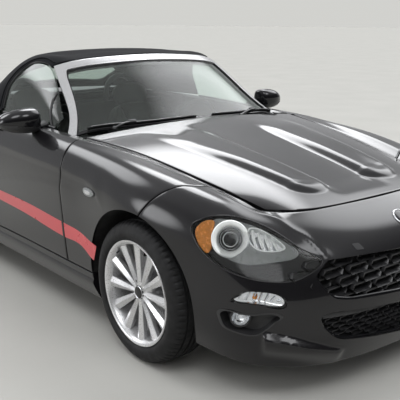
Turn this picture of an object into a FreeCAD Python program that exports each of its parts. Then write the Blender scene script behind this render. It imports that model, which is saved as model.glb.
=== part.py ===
import FreeCAD, Part
import math
import os

# A small two-seat convertible car with its soft top closed, in millimetres.
# The origin is on the ground under the middle of the car. The nose points to -Y and the
# car's left side to +X. Stations run from the nose to the tail.

doc = FreeCAD.newDocument("convertible")
sheet = doc.addObject("Spreadsheet::Sheet", "sizes")

SIZES = {
    # plan and height of the body
    "front_overhang": 852, "wheelbase": 2310, "rear_overhang": 874,
    "body_half_width": 870, "belt_height": 905, "roof_height": 1233,
    "door_front": 1445, "door_rear": 2522,
    # skins and gaps
    "skin": 10, "seat_gap": 0.3, "shut_gap": 6, "hood_thickness": 22, "lid_thickness": 22,
    "glass_thickness": 5, "fabric_thickness": 16, "door_inner": 690, "frame_depth": 38,
    "mirror_width": 210, "mirror_height": 144, "mirror_depth": 95,
    # wheels and tyres
    "track_front": 1496, "track_rear": 1503, "tyre_radius": 308, "tyre_width": 205,
    "rim_seat_radius": 216, "rim_width": 190, "rim_flange": 11, "rim_wall": 12,
    "spoke_width": 34, "spoke_depth": 22, "spoke_count": 12, "wheel_hub_radius": 62,
    "wheel_hub_depth": 40, "arch_radius": 352, "arch_rise": 6,
    "disc_radius": 140, "disc_thickness": 22, "disc_inset": 2, "rim_recess": 24,
    "spindle_radius": 28, "spindle_reach": 48,
    # steering and doors
    "kingpin_half": 690, "kingpin_radius": 22, "kingpin_length": 216, "arm_half_width": 26,
    "arm_thickness": 28, "door_axis_half": 800, "door_axis_inset": 70,
    "hinge_pin_radius": 8, "hinge_pin_length": 90, "hinge_strap_height": 30,
    "hinge_swing": 114, "wheel_tilt": 22, "steering_radius": 180, "steering_rim": 15,
    # structure
    "floor_height": 165, "floor_thickness": 20, "side_clearance": 12,
    "cabin_front": 1512, "bulkhead_to_axle": 340, "tunnel_half_width": 120, "tunnel_height": 240,
    "wall_thickness": 25, "sill_height": 285, "sill_inner": 600,
    "rail_half_spacing": 400, "rail_width": 70, "rail_height": 100, "rail_base": 400,
    "subframe_base": 172,
    "lid_hinge_half": 470, "pillar_width": 58,
    "engine_width": 480, "engine_length": 640, "engine_height": 470, "engine_front": 682,
    "engine_base": 235, "seat_width": 440, "seat_half_spacing": 355, "seat_to_axle": 1120, "hoop_tube": 17,
}
for row, (alias, value) in enumerate(SIZES.items(), start=1):
    sheet.set("A%d" % row, alias)
    sheet.set("B%d" % row, str(value))
    sheet.setAlias("B%d" % row, alias)
doc.recompute()


def size(alias):
    return float(sheet.get(alias))


LENGTH = size("front_overhang") + size("wheelbase") + size("rear_overhang")
FRONT_AXLE = size("front_overhang")
REAR_AXLE = FRONT_AXLE + size("wheelbase")
HUB = size("tyre_radius")
FLOOR_SIDE = size("door_inner") - size("side_clearance")
PILLAR_INNER = FLOOR_SIDE - size("pillar_width")
CABIN_FRONT = size("cabin_front") - LENGTH / 2
CABIN_REAR = REAR_AXLE - size("bulkhead_to_axle") - LENGTH / 2
SHELF = size("belt_height") - 45


def spline(knots, values):
    """Natural cubic through the values, as a function of the knot parameter."""
    count = len(knots)
    step = [knots[i + 1] - knots[i] for i in range(count - 1)]
    below, middle, above = [0.0] * count, [1.0] * count, [0.0] * count
    right = [0.0] * count
    for i in range(1, count - 1):
        below[i] = step[i - 1]
        middle[i] = 2 * (step[i - 1] + step[i])
        above[i] = step[i]
        right[i] = 6 * ((values[i + 1] - values[i]) / step[i] - (values[i] - values[i - 1]) / step[i - 1])
    for i in range(1, count):
        factor = below[i] / middle[i - 1]
        middle[i] -= factor * above[i - 1]
        right[i] -= factor * right[i - 1]
    bend = [0.0] * count
    for i in range(count - 2, 0, -1):
        bend[i] = (right[i] - above[i] * bend[i + 1]) / middle[i]

    def value(at):
        i = 0
        while i < count - 2 and at > knots[i + 1]:
            i += 1
        a = (knots[i + 1] - at) / step[i]
        b = (at - knots[i]) / step[i]
        cubic = (a ** 3 - a) * bend[i] + (b ** 3 - b) * bend[i + 1]
        return a * values[i] + b * values[i + 1] + cubic * step[i] ** 2 / 6

    return value


# Stations that the skins keep while the car is drawn, and where the sheet puts them.
DRAWN = [18, 870, 1463, 2540, 3180, 4054]
BUILT = [0, FRONT_AXLE, size("door_front"), size("door_rear"), REAR_AXLE, LENGTH]
DRAWN_BELT, DRAWN_WIDTH, DRAWN_ROOF = 905, 870, 1233
DECK_RISE = 45


def place(x, station, z):
    """A drawn point of the skins, put where the sheet's sizes want it."""
    i = 0
    while i < len(DRAWN) - 2 and station > DRAWN[i + 1]:
        i += 1
    share = (station - DRAWN[i]) / (DRAWN[i + 1] - DRAWN[i])
    y = BUILT[i] + share * (BUILT[i + 1] - BUILT[i]) - LENGTH / 2
    if z > DRAWN_BELT + DECK_RISE:
        reach = size("roof_height") - size("belt_height") - DECK_RISE
        over = z - DRAWN_BELT - DECK_RISE
        z = size("belt_height") + DECK_RISE + over * reach / (DRAWN_ROOF - DRAWN_BELT - DECK_RISE)
    elif z > DRAWN_BELT:
        z = size("belt_height") + z - DRAWN_BELT
    else:
        z = z * size("belt_height") / DRAWN_BELT
    return (x * size("body_half_width") / DRAWN_WIDTH, y, z)


def along(station):
    return place(0, station, 0)[1]


def flip(point):
    return (-point[0], point[1], point[2])


class Skin:
    """Smooth surface through hand-drawn sections, mirrored about the car's middle plane."""

    def __init__(self, rows, mirror_rows=False, mirror_columns=False):
        rows = [[place(*point) for point in row] for row in rows]
        self.first = 0
        self.last = len(rows) - 1
        if mirror_rows:
            head = [[flip(p) for p in row] for row in rows[2:0:-1]]
            tail = [[flip(p) for p in row] for row in rows[-2:-4:-1]]
            self.first = 2
            rows = head + rows + tail
        if mirror_columns:
            rows = [row + [flip(p) for p in row[-2::-1]] for row in rows]
        middle = len(rows[0]) // 2
        self.long = [0.0]
        for a, b in zip(rows, rows[1:]):
            self.long.append(self.long[-1] + math.dist(a[middle], b[middle]))
        self.wide = [0.0]
        for j in range(1, len(rows[0])):
            spread = sum(math.dist(row[j], row[j - 1]) for row in rows) / len(rows)
            self.wide.append(self.wide[-1] + spread)
        self.rails = [[spline(self.long, [row[j][k] for row in rows]) for k in range(3)]
                      for j in range(len(rows[0]))]
        self.cache = {}

    def between(self, knots, index):
        i = min(max(int(math.floor(index)), 0), len(knots) - 2)
        return knots[i] + (index - i) * (knots[i + 1] - knots[i])

    def point(self, row, column):
        """Point at a row and a column, counted from the first drawn ones; both may be fractions."""
        if self.first and row < -0.5:
            x, y, z = self.point(-row, column)
            return (-x, y, z)
        if self.first and row > self.last + 0.5:
            x, y, z = self.point(2 * self.last - row, column)
            return (-x, y, z)
        key = round(row, 6)
        if key not in self.cache:
            at = self.between(self.long, row + self.first)
            self.cache[key] = [spline(self.wide, [rail[k](at) for rail in self.rails]) for k in range(3)]
        across = self.between(self.wide, column)
        return tuple(curve(across) for curve in self.cache[key])

    def normal(self, row, column, d=0.02):
        a = FreeCAD.Vector(*self.point(row + d, column)) - FreeCAD.Vector(*self.point(row - d, column))
        b = FreeCAD.Vector(*self.point(row, column + d)) - FreeCAD.Vector(*self.point(row, column - d))
        return a.cross(b).normalize()

    def offset(self, row, column, depth):
        """Point that lies the given depth inside the surface."""
        return FreeCAD.Vector(*self.point(row, column)) - self.normal(row, column) * depth


# Sections of the body's side from the nose round to the tail: bottom edge, sill, lower side,
# widest line, shoulder, crest and inner edge. Each is x, station, height.
BODY = Skin([
    [(0, 70, 150), (0, 38, 225), (0, 18, 312), (0, 30, 430), (0, 66, 528), (0, 155, 632), (0, 283, 703)],
    [(320, 92, 150), (325, 60, 228), (328, 42, 314), (326, 54, 436), (322, 92, 540), (316, 180, 638),
     (305, 302, 702)],
    [(560, 170, 152), (570, 140, 235), (575, 128, 322), (572, 140, 445), (560, 186, 560), (530, 262, 650),
     (455, 345, 700)],
    [(706, 300, 160), (722, 275, 248), (728, 268, 340), (726, 282, 462), (706, 332, 590), (640, 390, 690),
     (522, 430, 700)],
    [(770, 520, 180), (796, 520, 268), (808, 520, 390), (808, 520, 530), (782, 520, 662), (690, 520, 745),
     (545, 520, 724)],
    [(800, 870, 185), (836, 870, 290), (858, 870, 440), (860, 870, 600), (838, 870, 728), (745, 870, 812),
     (596, 870, 796)],
    [(806, 1220, 180), (830, 1220, 285), (840, 1220, 430), (845, 1220, 600), (832, 1220, 745),
     (765, 1220, 842), (640, 1220, 848)],
    [(800, 1463, 175), (822, 1463, 280), (834, 1463, 430), (842, 1463, 600), (830, 1463, 750),
     (775, 1463, 850), (690, 1463, 868)],
    [(795, 2000, 175), (815, 2000, 280), (830, 2000, 430), (840, 2000, 600), (825, 2000, 760),
     (775, 2000, 868), (700, 2000, 885)],
    [(795, 2540, 175), (818, 2540, 280), (835, 2540, 430), (848, 2540, 600), (838, 2540, 760),
     (785, 2540, 880), (700, 2540, 900)],
    [(800, 2830, 180), (826, 2830, 285), (848, 2830, 430), (862, 2830, 600), (852, 2830, 760),
     (790, 2830, 885), (680, 2830, 905)],
    [(800, 3180, 185), (836, 3180, 290), (862, 3180, 430), (868, 3180, 600), (852, 3180, 770),
     (780, 3180, 880), (640, 3180, 905)],
    [(790, 3530, 190), (822, 3530, 290), (845, 3530, 430), (850, 3530, 600), (832, 3530, 765),
     (755, 3530, 865), (615, 3530, 892)],
    [(745, 3800, 215), (775, 3810, 300), (795, 3815, 430), (798, 3812, 600), (775, 3800, 750),
     (705, 3770, 845), (585, 3740, 880)],
    [(600, 3950, 225), (625, 3972, 310), (640, 3980, 440), (640, 3975, 600), (620, 3955, 745),
     (575, 3915, 835), (520, 3870, 872)],
    [(310, 4010, 230), (315, 4036, 320), (320, 4044, 450), (320, 4038, 610), (315, 4015, 750),
     (300, 3975, 838), (290, 3935, 870)],
    [(0, 4020, 230), (0, 4048, 320), (0, 4054, 450), (0, 4050, 610), (0, 4028, 750), (0, 3990, 838),
     (0, 3950, 870)],
], mirror_rows=True)

# Sections of the glasshouse from belt over roof: belt, glass middle, rail, shoulder, quarter, centre.
ROOF = Skin([
    [(700, 1700, 880), (690, 1700, 895), (668, 1700, 905), (500, 1700, 925), (250, 1700, 935),
     (0, 1700, 938)],
    [(705, 1880, 884), (672, 1880, 965), (602, 1880, 1045), (450, 1880, 1160), (235, 1880, 1190),
     (0, 1880, 1205)],
    [(705, 2045, 888), (645, 2045, 1030), (545, 2045, 1155), (425, 2045, 1200), (220, 2045, 1216),
     (0, 2045, 1222)],
    [(705, 2300, 895), (655, 2300, 1038), (572, 2300, 1166), (440, 2300, 1215), (225, 2300, 1229),
     (0, 2300, 1233)],
    [(700, 2560, 903), (650, 2560, 994), (568, 2560, 1080), (434, 2560, 1166), (225, 2560, 1206),
     (0, 2560, 1217)],
    [(680, 2800, 916.8), (622, 2800, 950), (535, 2800, 992), (405, 2800, 1064), (212, 2800, 1128),
     (0, 2800, 1146)],
    [(640, 2950, 928.4), (588, 2950, 944), (505, 2950, 968), (385, 2950, 1010), (203, 2950, 1044),
     (0, 2950, 1056)],
    [(570, 3100, 940), (530, 3100, 943), (465, 3100, 946), (365, 3100, 949), (190, 3100, 952),
     (0, 3100, 954)],
], mirror_columns=True)

# Lines of the windscreen from base to header: side, three quarters, middle.
SCREEN = Skin([
    [(720, 1612, 838), (640, 1590, 862), (400, 1525, 880), (0, 1490, 888)],
    [(640, 1710, 925), (580, 1690, 940), (360, 1635, 965), (0, 1610, 975)],
    [(585, 1870, 1050), (520, 1845, 1066), (320, 1800, 1095), (0, 1780, 1108)],
    [(540, 2035, 1166), (480, 2010, 1184), (290, 1975, 1208), (0, 1962, 1218)],
], mirror_columns=True)

# Lines of the hood from front edge to rear edge, side to middle.
HOOD = Skin([
    [(512, 440, 703), (427, 346, 706), (220, 301, 707), (0, 293, 708)],
    [(542, 560, 736), (424, 505, 748), (218, 475, 752), (0, 468, 752)],
    [(591, 880, 800), (430, 860, 818), (220, 850, 826), (0, 850, 828)],
    [(635, 1225, 849), (450, 1200, 868), (230, 1190, 880), (0, 1190, 884)],
    [(684, 1478, 869), (480, 1455, 890), (240, 1440, 905), (0, 1435, 910)],
], mirror_columns=True)

# Lines of the rear deck and trunk lid from the cabin to the tail, side to middle.
DECK = Skin([
    [(670, 2850, 905), (560, 2850, 915), (300, 2850, 922), (0, 2850, 925)],
    [(631, 3200, 908), (500, 3200, 924), (260, 3200, 927), (0, 3200, 928)],
    [(606, 3540, 892), (450, 3540, 908), (230, 3540, 922), (0, 3540, 927)],
    [(572, 3745, 879), (430, 3790, 888), (220, 3815, 900), (0, 3820, 904)],
    [(510, 3860, 872), (395, 3900, 874), (200, 3934, 876), (0, 3940, 878)],
], mirror_columns=True)


def net(points):
    surface = Part.BSplineSurface()
    surface.interpolate(points)
    return surface


def brick(outer, inner):
    """Closed solid between two matching grids of points."""
    nets = [net(outer), net(inner)]
    edges = []
    for surface in nets:
        u0, u1, v0, v1 = surface.bounds()
        isos = [surface.uIso(u0), surface.uIso(u1), surface.vIso(v0), surface.vIso(v1)]
        edges.append([iso.toShape() for iso in isos])
    faces = [surface.toShape() for surface in nets]
    faces += [Part.makeRuledSurface(a, b) for a, b in zip(*edges)]
    shell = Part.makeShell(faces)
    shell.sewShape()
    solid = Part.makeSolid(shell)
    if solid.Volume < 0:
        solid.reverse()
    return solid


def panel(skin, rows, columns, depth, count=(9, 9), top=0.0, inner=None, domain=None):
    """Curved panel of a skin, from top to depth below the surface. The rows may be functions of
    the column, or the columns of the row; inner, where given, moves its inside points, and
    domain gives row and column for the shares of both where both edges curve."""
    def plain(a, b):
        if callable(columns[0]) or callable(columns[1]):
            row = rows[0] + a * (rows[1] - rows[0])
            start, end = [c(row) if callable(c) else c for c in columns]
            return row, start + b * (end - start)
        column = columns[0] + b * (columns[1] - columns[0])
        low, high = [r(column) if callable(r) else r for r in rows]
        return low + a * (high - low), column

    domain = domain or plain
    grids = []
    for level in (top, depth):
        grid = []
        for i in range(count[0]):
            line = []
            for j in range(count[1]):
                at = domain(i / (count[0] - 1), j / (count[1] - 1))
                point = skin.offset(*at, level)
                if level is depth and inner:
                    point = inner(point)
                line.append(point)
            grid.append(line)
        grids.append(grid)
    return brick(*grids)


def mirrored(shape):
    return shape.mirror(FreeCAD.Vector(0, 0, 0), FreeCAD.Vector(1, 0, 0))


def unchanged(shape):
    return shape


HANDS = (("left", unchanged), ("right", mirrored))


def block(low, high):
    """Box between two corners."""
    extent = [b - a for a, b in zip(low, high)]
    return Part.makeBox(*extent, FreeCAD.Vector(*low))


def rod(start, end, radius):
    line = FreeCAD.Vector(*end) - FreeCAD.Vector(*start)
    return Part.makeCylinder(radius, line.Length, FreeCAD.Vector(*start), line)


def prism(outline, start, end):
    """Prism along Y of an outline in x and z."""
    points = [FreeCAD.Vector(x, start, z) for x, z in outline]
    face = Part.Face(Part.makePolygon(points + points[:1]))
    return face.extrude(FreeCAD.Vector(0, end - start, 0))


pieces = []


def feature(label, shape):
    piece = doc.addObject("Part::Feature", label)
    piece.Shape = shape
    piece.Placement = FreeCAD.Placement()
    piece.Label = label
    pieces.append(piece)
    return piece


def bound(kind, name, **bindings):
    """Object of one kind with each named property bound to an expression of the sheet."""
    thing = doc.addObject("Part::" + kind, name)
    for key, formula in bindings.items():
        path = {"x": "Placement.Base.x", "y": "Placement.Base.y", "z": "Placement.Base.z"}.get(key, key)
        thing.setExpression(path, formula)
    return thing


def named(label, thing):
    thing.Label = label
    pieces.append(thing)
    return thing


def fused(label, parts):
    whole = doc.addObject("Part::MultiFuse", label)
    whole.Shapes = parts
    return named(label, whole)


def grouped(label, parts):
    whole = doc.addObject("Part::Compound", label)
    whole.Links = parts
    return named(label, whole)


ACROSS = FreeCAD.Rotation(FreeCAD.Vector(0, 1, 0), 90)


def slab(name, x, y, z, width, length, height):
    """Box from its lowest corner and its extents, all formulas of the sheet."""
    return bound("Box", name, x=x, y=y, z=z, Width=length, Length=width, Height=height)


def cylinder(name, x, y, z, radius, height, turn=None):
    thing = bound("Cylinder", name, Radius=radius, Height=height)
    if turn:
        thing.Placement.Rotation = turn
    for key, formula in zip("xyz", (x, y, z)):
        thing.setExpression("Placement.Base." + key, formula)
    return thing


def cut(name, base, tool):
    thing = doc.addObject("Part::Cut", name)
    thing.Base = base
    thing.Tool = tool
    return thing


GAP = size("shut_gap")
SKIN = size("skin")
SEAT = SKIN + size("seat_gap")


def arch(axle, side=1, spare=0.0, inner=485):
    """Space of one wheel, as a cylinder across the car."""
    height = HUB + size("arch_rise")
    y = axle - LENGTH / 2
    return rod((side * inner, y, height), (side * 1000, y, height), size("arch_radius") + spare)


# Rows and columns of the shut lines on the body's side.
FENDER_FRONT = 4.32
FENDER_ARCH = 4.86
DOOR_FRONT, DOOR_REAR = 7, 9
TAIL_SPLIT = 12.6
SILL_LINE = 1.08


def fender_line(share):
    """Slanted shut line between bumper cover and fender: its row for each column, moved back
    by a share of the gap."""
    shift = share * GAP / 350
    return lambda column: (FENDER_ARCH + shift
                           + (FENDER_FRONT - FENDER_ARCH) * max(0.0, (column - 3.3) / 2.7))


def nose_cover(depth, top=0.0):
    line = fender_line(-0.5)
    return panel(BODY, (lambda column: -line(column), line), (0, 6), depth, (61, 15), top=top)


def tail_cover(depth, top=0.0):
    row = TAIL_SPLIT + GAP / 310
    return panel(BODY, (row, 32 - row), (0, 5.4), depth, (41, 13), top=top)


def make_body_skins():
    """Fenders, quarter panels, bumper covers and rocker panels."""
    columns = (SILL_LINE + GAP / 105, 6)
    fender = panel(BODY, (fender_line(0.5), DOOR_FRONT - GAP / 243), columns, SKIN, (17, 15))
    fender = fender.cut(arch(FRONT_AXLE)).cut(edge_swing())
    quarter = panel(BODY, (DOOR_REAR + GAP / 290, TAIL_SPLIT), columns, SKIN, (17, 13))
    quarter = quarter.cut(arch(REAR_AXLE))
    for side, turn in HANDS:
        feature("fender_" + side, turn(fender))
        feature("quarter_" + side, turn(quarter))
    rocker = panel(BODY, (5.7, 10.4), (0, SILL_LINE), 1, (21, 5),
                   inner=lambda p: FreeCAD.Vector(FLOOR_SIDE, p.y, p.z))
    for axle in (FRONT_AXLE, REAR_AXLE):
        rocker = rocker.cut(arch(axle))
    feature("rocker_panels", Part.makeCompound([rocker, mirrored(rocker)]))

    bumper = nose_cover(SKIN)
    bumper = bumper.cut(arch(FRONT_AXLE)).cut(mirrored(arch(FRONT_AXLE)))
    openings = [MAIN_GRILLE, LOWER_GRILLE]
    for outline in openings:
        bumper = bumper.cut(prism(outline, -LENGTH / 2 - 50, -LENGTH / 2 + 400))
    for lamp in (headlamp_space(0.0), lamp_space(TURN_LAMP, 0.0), lamp_space(FOG_LAMP, 0.0)):
        bumper = bumper.cut(lamp).cut(mirrored(lamp))
    feature("front_bumper", bumper)
    tail = tail_cover(SKIN)
    lamp = tail_lamp_space(0.0)
    tail = tail.cut(lamp).cut(mirrored(lamp))
    feature("rear_bumper", tail)


MAIN_GRILLE = [(-492, 495), (-462, 562), (-200, 590), (200, 590), (462, 562), (492, 495), (432, 398),
               (200, 372), (-200, 372), (-432, 398)]
LOWER_GRILLE = [(-470, 300), (-440, 345), (-200, 352), (200, 352), (440, 345), (470, 300), (400, 232),
                (-400, 232)]
HEADLAMP = [(-205, 40), (-160, 78), (-90, 88), (0, 66), (110, 20), (190, -45), (110, -62), (0, -78),
            (-90, -60), (-160, -20)]
TURN_LAMP = [(-70, -24), (-10, 10), (60, 30), (60, -12), (40, -24)]
FOG_LAMP = [(-70, 40), (70, 26), (40, -30), (-20, -48), (-60, -20)]
TAIL_LAMP = [(-150, 55), (130, 60), (150, 10), (90, -50), (-90, -60), (-150, -20)]


def slant_prism(centre, angle, outline, spare):
    """Prism through a corner of the car, along a level direction at the given angle from +Y."""
    direction = FreeCAD.Vector(math.sin(angle), math.cos(angle), 0)
    side = FreeCAD.Vector(-math.cos(angle), math.sin(angle), 0)
    middle = FreeCAD.Vector(*centre)
    reach = 1 + spare / 60
    points = [middle + side * (a * reach) + FreeCAD.Vector(0, 0, b * reach) - direction * 260
              for a, b in outline]
    face = Part.Face(Part.makePolygon(points + points[:1]))
    return face.extrude(direction * 520)


def headlamp_space(spare):
    return slant_prism(place(655, 330, 630), math.radians(145), HEADLAMP, spare)


def lamp_space(outline, spare):
    height = 372 if outline is TURN_LAMP else 296
    return slant_prism(place(655, 250, height), math.radians(150), outline, spare)


def tail_lamp_space(spare):
    return slant_prism(place(640, 3960, 700), math.radians(35), TAIL_LAMP, spare)


def make_lamps():
    """Each lamp fills its opening in the bumper cover, a little below the surface."""
    def fill(space, rows):
        lamp = panel(BODY, rows, (0.5, 5.8), SKIN + 45, (21, 15), top=1.0).common(space)
        return [lamp, mirrored(lamp)]

    feature("headlamps", Part.makeCompound(fill(headlamp_space(-0.6), (1.5, 4.6))))
    low = fill(lamp_space(TURN_LAMP, -0.6), (1.5, 4.4)) + fill(lamp_space(FOG_LAMP, -0.6), (1.5, 4.4))
    feature("lower_lamps", Part.makeCompound(low))
    feature("tail_lamps", Part.makeCompound(fill(tail_lamp_space(-0.6), (12.7, 15.5))))
    nose = panel(BODY, (-2.4, 2.4), (0.5, 5.2), SKIN + 26, (31, 11), top=6.0)
    grilles = []
    for outline in (MAIN_GRILLE, LOWER_GRILLE):
        middle = sum(z for x, z in outline) / len(outline)
        spread = [(x * 0.998, middle + (z - middle) * 0.992) for x, z in outline]
        grilles.append(nose.common(prism(spread, -LENGTH / 2 - 50, -LENGTH / 2 + 300)))
    feature("grilles", Part.makeCompound(grilles))


def make_top_skins():
    """Hood, rear deck and trunk lid, each as thick as the whole lid; returns the hood's hinges."""
    hood = panel(HOOD, (0, 4), (0.02, 5.98), size("hood_thickness"), (15, 25))
    y, z = hood_axis()
    under = panel(HOOD, (3, 4), (0.1, 5.9), size("hood_thickness") - 2, (7, 25), top=-120.0)
    brackets = []
    for side in (-1, 1):
        a, b = sorted((side * 545, side * 575))
        lug = rod((a, y, z), (b, y, z), 13).fuse(block((a, y - 8, z), (b, y + 8, z + 40)).cut(under))
        hood = hood.fuse(lug).cut(rod((a - 1, y, z), (b + 1, y, z), 6 + size("seat_gap")))
        inner, outer = side * 546, side * 600
        a, b = sorted((side * 580, outer))
        bracket = block((a, y - 8, size("belt_height") - 90), (b, y + 8, z + 6))
        brackets.append(bracket.fuse(rod((inner, y, z), (outer, y, z), 6)).removeSplitter())
    feature("hood", hood)
    y, z = lid_axis()
    deck = panel(DECK, (0, 1), (0.02, 5.98), SKIN, (7, 17))
    deck = deck.cut(rod((-900, y, z), (900, y, z), math.hypot(6, 10) + 5))
    lid = panel(DECK, (1 + 4 / 340, 4), (0.03, 5.97), size("lid_thickness"), (13, 19))
    pin, reach = 4, size("lid_hinge_half")
    for side in (-1, 1):
        a, b = sorted((side * (reach - 8), side * (reach + 8)))
        tongue = block((a, y - 40, z - 6), (b, y + 6, z + 3))
        deck = deck.fuse(tongue).fuse(rod((a - 8, y, z), (b + 8, y, z), pin))
        lid = lid.cut(block((a - 2, y - 60, z - 40), (b + 2, y + 8, z + 5)))
        lid = lid.cut(block((a - 2, y - 60, z), (b + 2, y + 1, z + 20)))
        lid = lid.cut(rod((a - 8.3, y, z), (b + 8.3, y, z), pin + size("seat_gap")))
    feature("rear_deck", deck)
    feature("trunk_lid", lid)
    return brackets


def lid_axis():
    """Height and place of the lid's hinge, just under its front edge."""
    edge = DECK.point(1, 1.5)
    return edge[1] + 10, edge[2] - 9


def hood_axis():
    """Height and place of the hood's hinge, under its rear corners."""
    edge = HOOD.point(4, 0.6)
    return edge[1] - 6, edge[2] - size("hood_thickness") - 18


def glass_edge(column):
    """Rear edge of the door glass: upright, then leaning forward near its top."""
    return 3.22 - 0.5 * max(0.0, (column - 0.9) / 1.06) ** 2


def make_glasshouse():
    """Windscreen with its frame, door glass, soft top and rear window."""
    depth = size("frame_depth")
    whole = panel(SCREEN, (0.12, 3), (0.0, 6.0), depth, (11, 21))
    hole = panel(SCREEN, (-0.3, 2.72), (0.62, 5.38), depth + 60, (11, 17), top=-60.0)
    inner = size("door_inner") - GAP
    for low, high in ((inner, 900), (-900, -inner)):
        hole = hole.fuse(block((low, along(1500), 700), (high, along(1900), size("belt_height") + 8)))
    feature("windshield_frame", whole.cut(hole))
    glass = panel(SCREEN, (0.14, 2.715), (0.625, 5.375), 8 + size("glass_thickness"), (11, 17), top=8.0)
    feature("windshield_glass", glass)
    thick = size("fabric_thickness")

    def front(column):
        return 2.04 - 0.44 * (1 - ((column - 5) / 3) ** 2)

    def behind_glass(column):
        return glass_edge(column) + 0.06

    top = panel(ROOF, (front, 7), (0, 10), thick, (33, 31))
    reach = thick + 40
    side_window = panel(ROOF, (1.2, behind_glass), (-0.5, 2.02), reach, (17, 17), top=-40.0)
    over_door = panel(ROOF, (3.0, 4.6), (-0.5, 0.14), reach, (9, 5), top=-40.0)
    for tool in (side_window, over_door):
        top = top.cut(tool).cut(mirrored(tool))
    window_hole = panel(ROOF, (5.1, 6.55), (3.2, 6.8), reach, (9, 11), top=-40.0)
    feature("soft_top", top.cut(window_hole))
    window = panel(ROOF, (5.103, 6.547), (3.203, 6.797), 4 + size("glass_thickness"), (9, 11), top=4.0)
    feature("rear_window", window)


def door_axis(side=1):
    return side * size("door_axis_half"), size("door_front") + size("door_axis_inset") - LENGTH / 2


def door_swing():
    """Round space that the inside of the door's front edge turns in."""
    x, y = door_axis()
    return rod((x, y, 200), (x, y, size("belt_height") + 60), size("hinge_swing") + GAP)


def edge_swing():
    """Round space that the outer corner of the door's front edge turns in."""
    x, y = door_axis()
    corner = math.hypot(BODY.point(DOOR_FRONT, 3)[0] - x, size("door_axis_inset"))
    return rod((x, y, 290), (x, y, 740), corner + 5)


HINGE_LEVELS = (400, 680)


def make_doors(hood_hinges):
    """Doors with their round front edge, hinge pockets, glass and mirrors."""
    inner = size("door_inner")
    x, y = door_axis()
    radius, strap = size("hinge_pin_radius"), size("hinge_strap_height")
    door = panel(BODY, (DOOR_FRONT, DOOR_REAR), (SILL_LINE + GAP / 105, 5.98), 10, (21, 15),
                 inner=lambda p: FreeCAD.Vector(inner, p.y, p.z))
    corner = block((inner - 50, y - 160, 150), (900, y, 1000))
    door = door.cut(corner.cut(rod((x, y, 100), (x, y, 1100), size("hinge_swing"))))
    reach = size("hinge_swing") + 12
    hinges = []
    for level in HINGE_LEVELS:
        pocket = block((x - reach - 20, y - reach, level - 5), (x + 20, y + 20, level + strap + 5))
        door = door.cut(pocket)
        pin_low = level + strap / 2 - size("hinge_pin_length") / 2
        bore = size("seat_gap") + radius
        door = door.cut(rod((x, y, pin_low - 0.3), (x, y, pin_low + size("hinge_pin_length") + 0.3), bore))
        pin = rod((x, y, pin_low), (x, y, pin_low + size("hinge_pin_length")), radius)
        arm = block((FLOOR_SIDE, y - 12, level), (x + 12, y + 12, level + strap))
        hinges.append(arm.fuse(pin).removeSplitter())
    feature("hinges", Part.makeCompound(hinges + [mirrored(h) for h in hinges] + hood_hinges))
    glass = panel(ROOF, (0.30, glass_edge), (-0.15, 1.96), 10 + size("glass_thickness"), (21, 15),
                  top=10.0)
    slot = panel(ROOF, (0.29, 3.23), (-0.16, 1.0), 10.3 + size("glass_thickness"), (21, 7), top=9.7)
    door = door.cut(slot)
    mirror = make_mirror()
    for side, turn in HANDS:
        feature("door_" + side, turn(door))
        feature("door_glass_" + side, turn(glass))
        feature("mirror_" + side, turn(mirror))


def make_mirror():
    """Mirror housing on its short arm from the door's shoulder."""
    x, y, z = place(846, 1830, 945)
    wide, tall, deep = size("mirror_width") / 2, size("mirror_height") / 2, size("mirror_depth")
    rings = []
    for back, share in ((0, 1.0), (0.3, 0.97), (0.6, 0.84), (0.85, 0.58), (0.97, 0.28)):
        middle = FreeCAD.Vector(x, y + 30 - back * deep, z)
        right = middle + FreeCAD.Vector(wide * share, 0, 0)
        upper = middle + FreeCAD.Vector(0, 0, tall * share)
        rings.append(Part.Wire(Part.Ellipse(right, upper, middle).toShape()))
    shell = Part.makeLoft(rings, True)
    arm = block((x - 62, y - 22, z - 130), (x - 20, y + 12, z - 20))
    arm = arm.cut(panel(BODY, (7.2, 8.4), (3.5, 6), 10, (9, 9), top=-0.3,
                        inner=lambda p: FreeCAD.Vector(650, p.y, p.z)))
    return shell.fuse(arm).removeSplitter()


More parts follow.
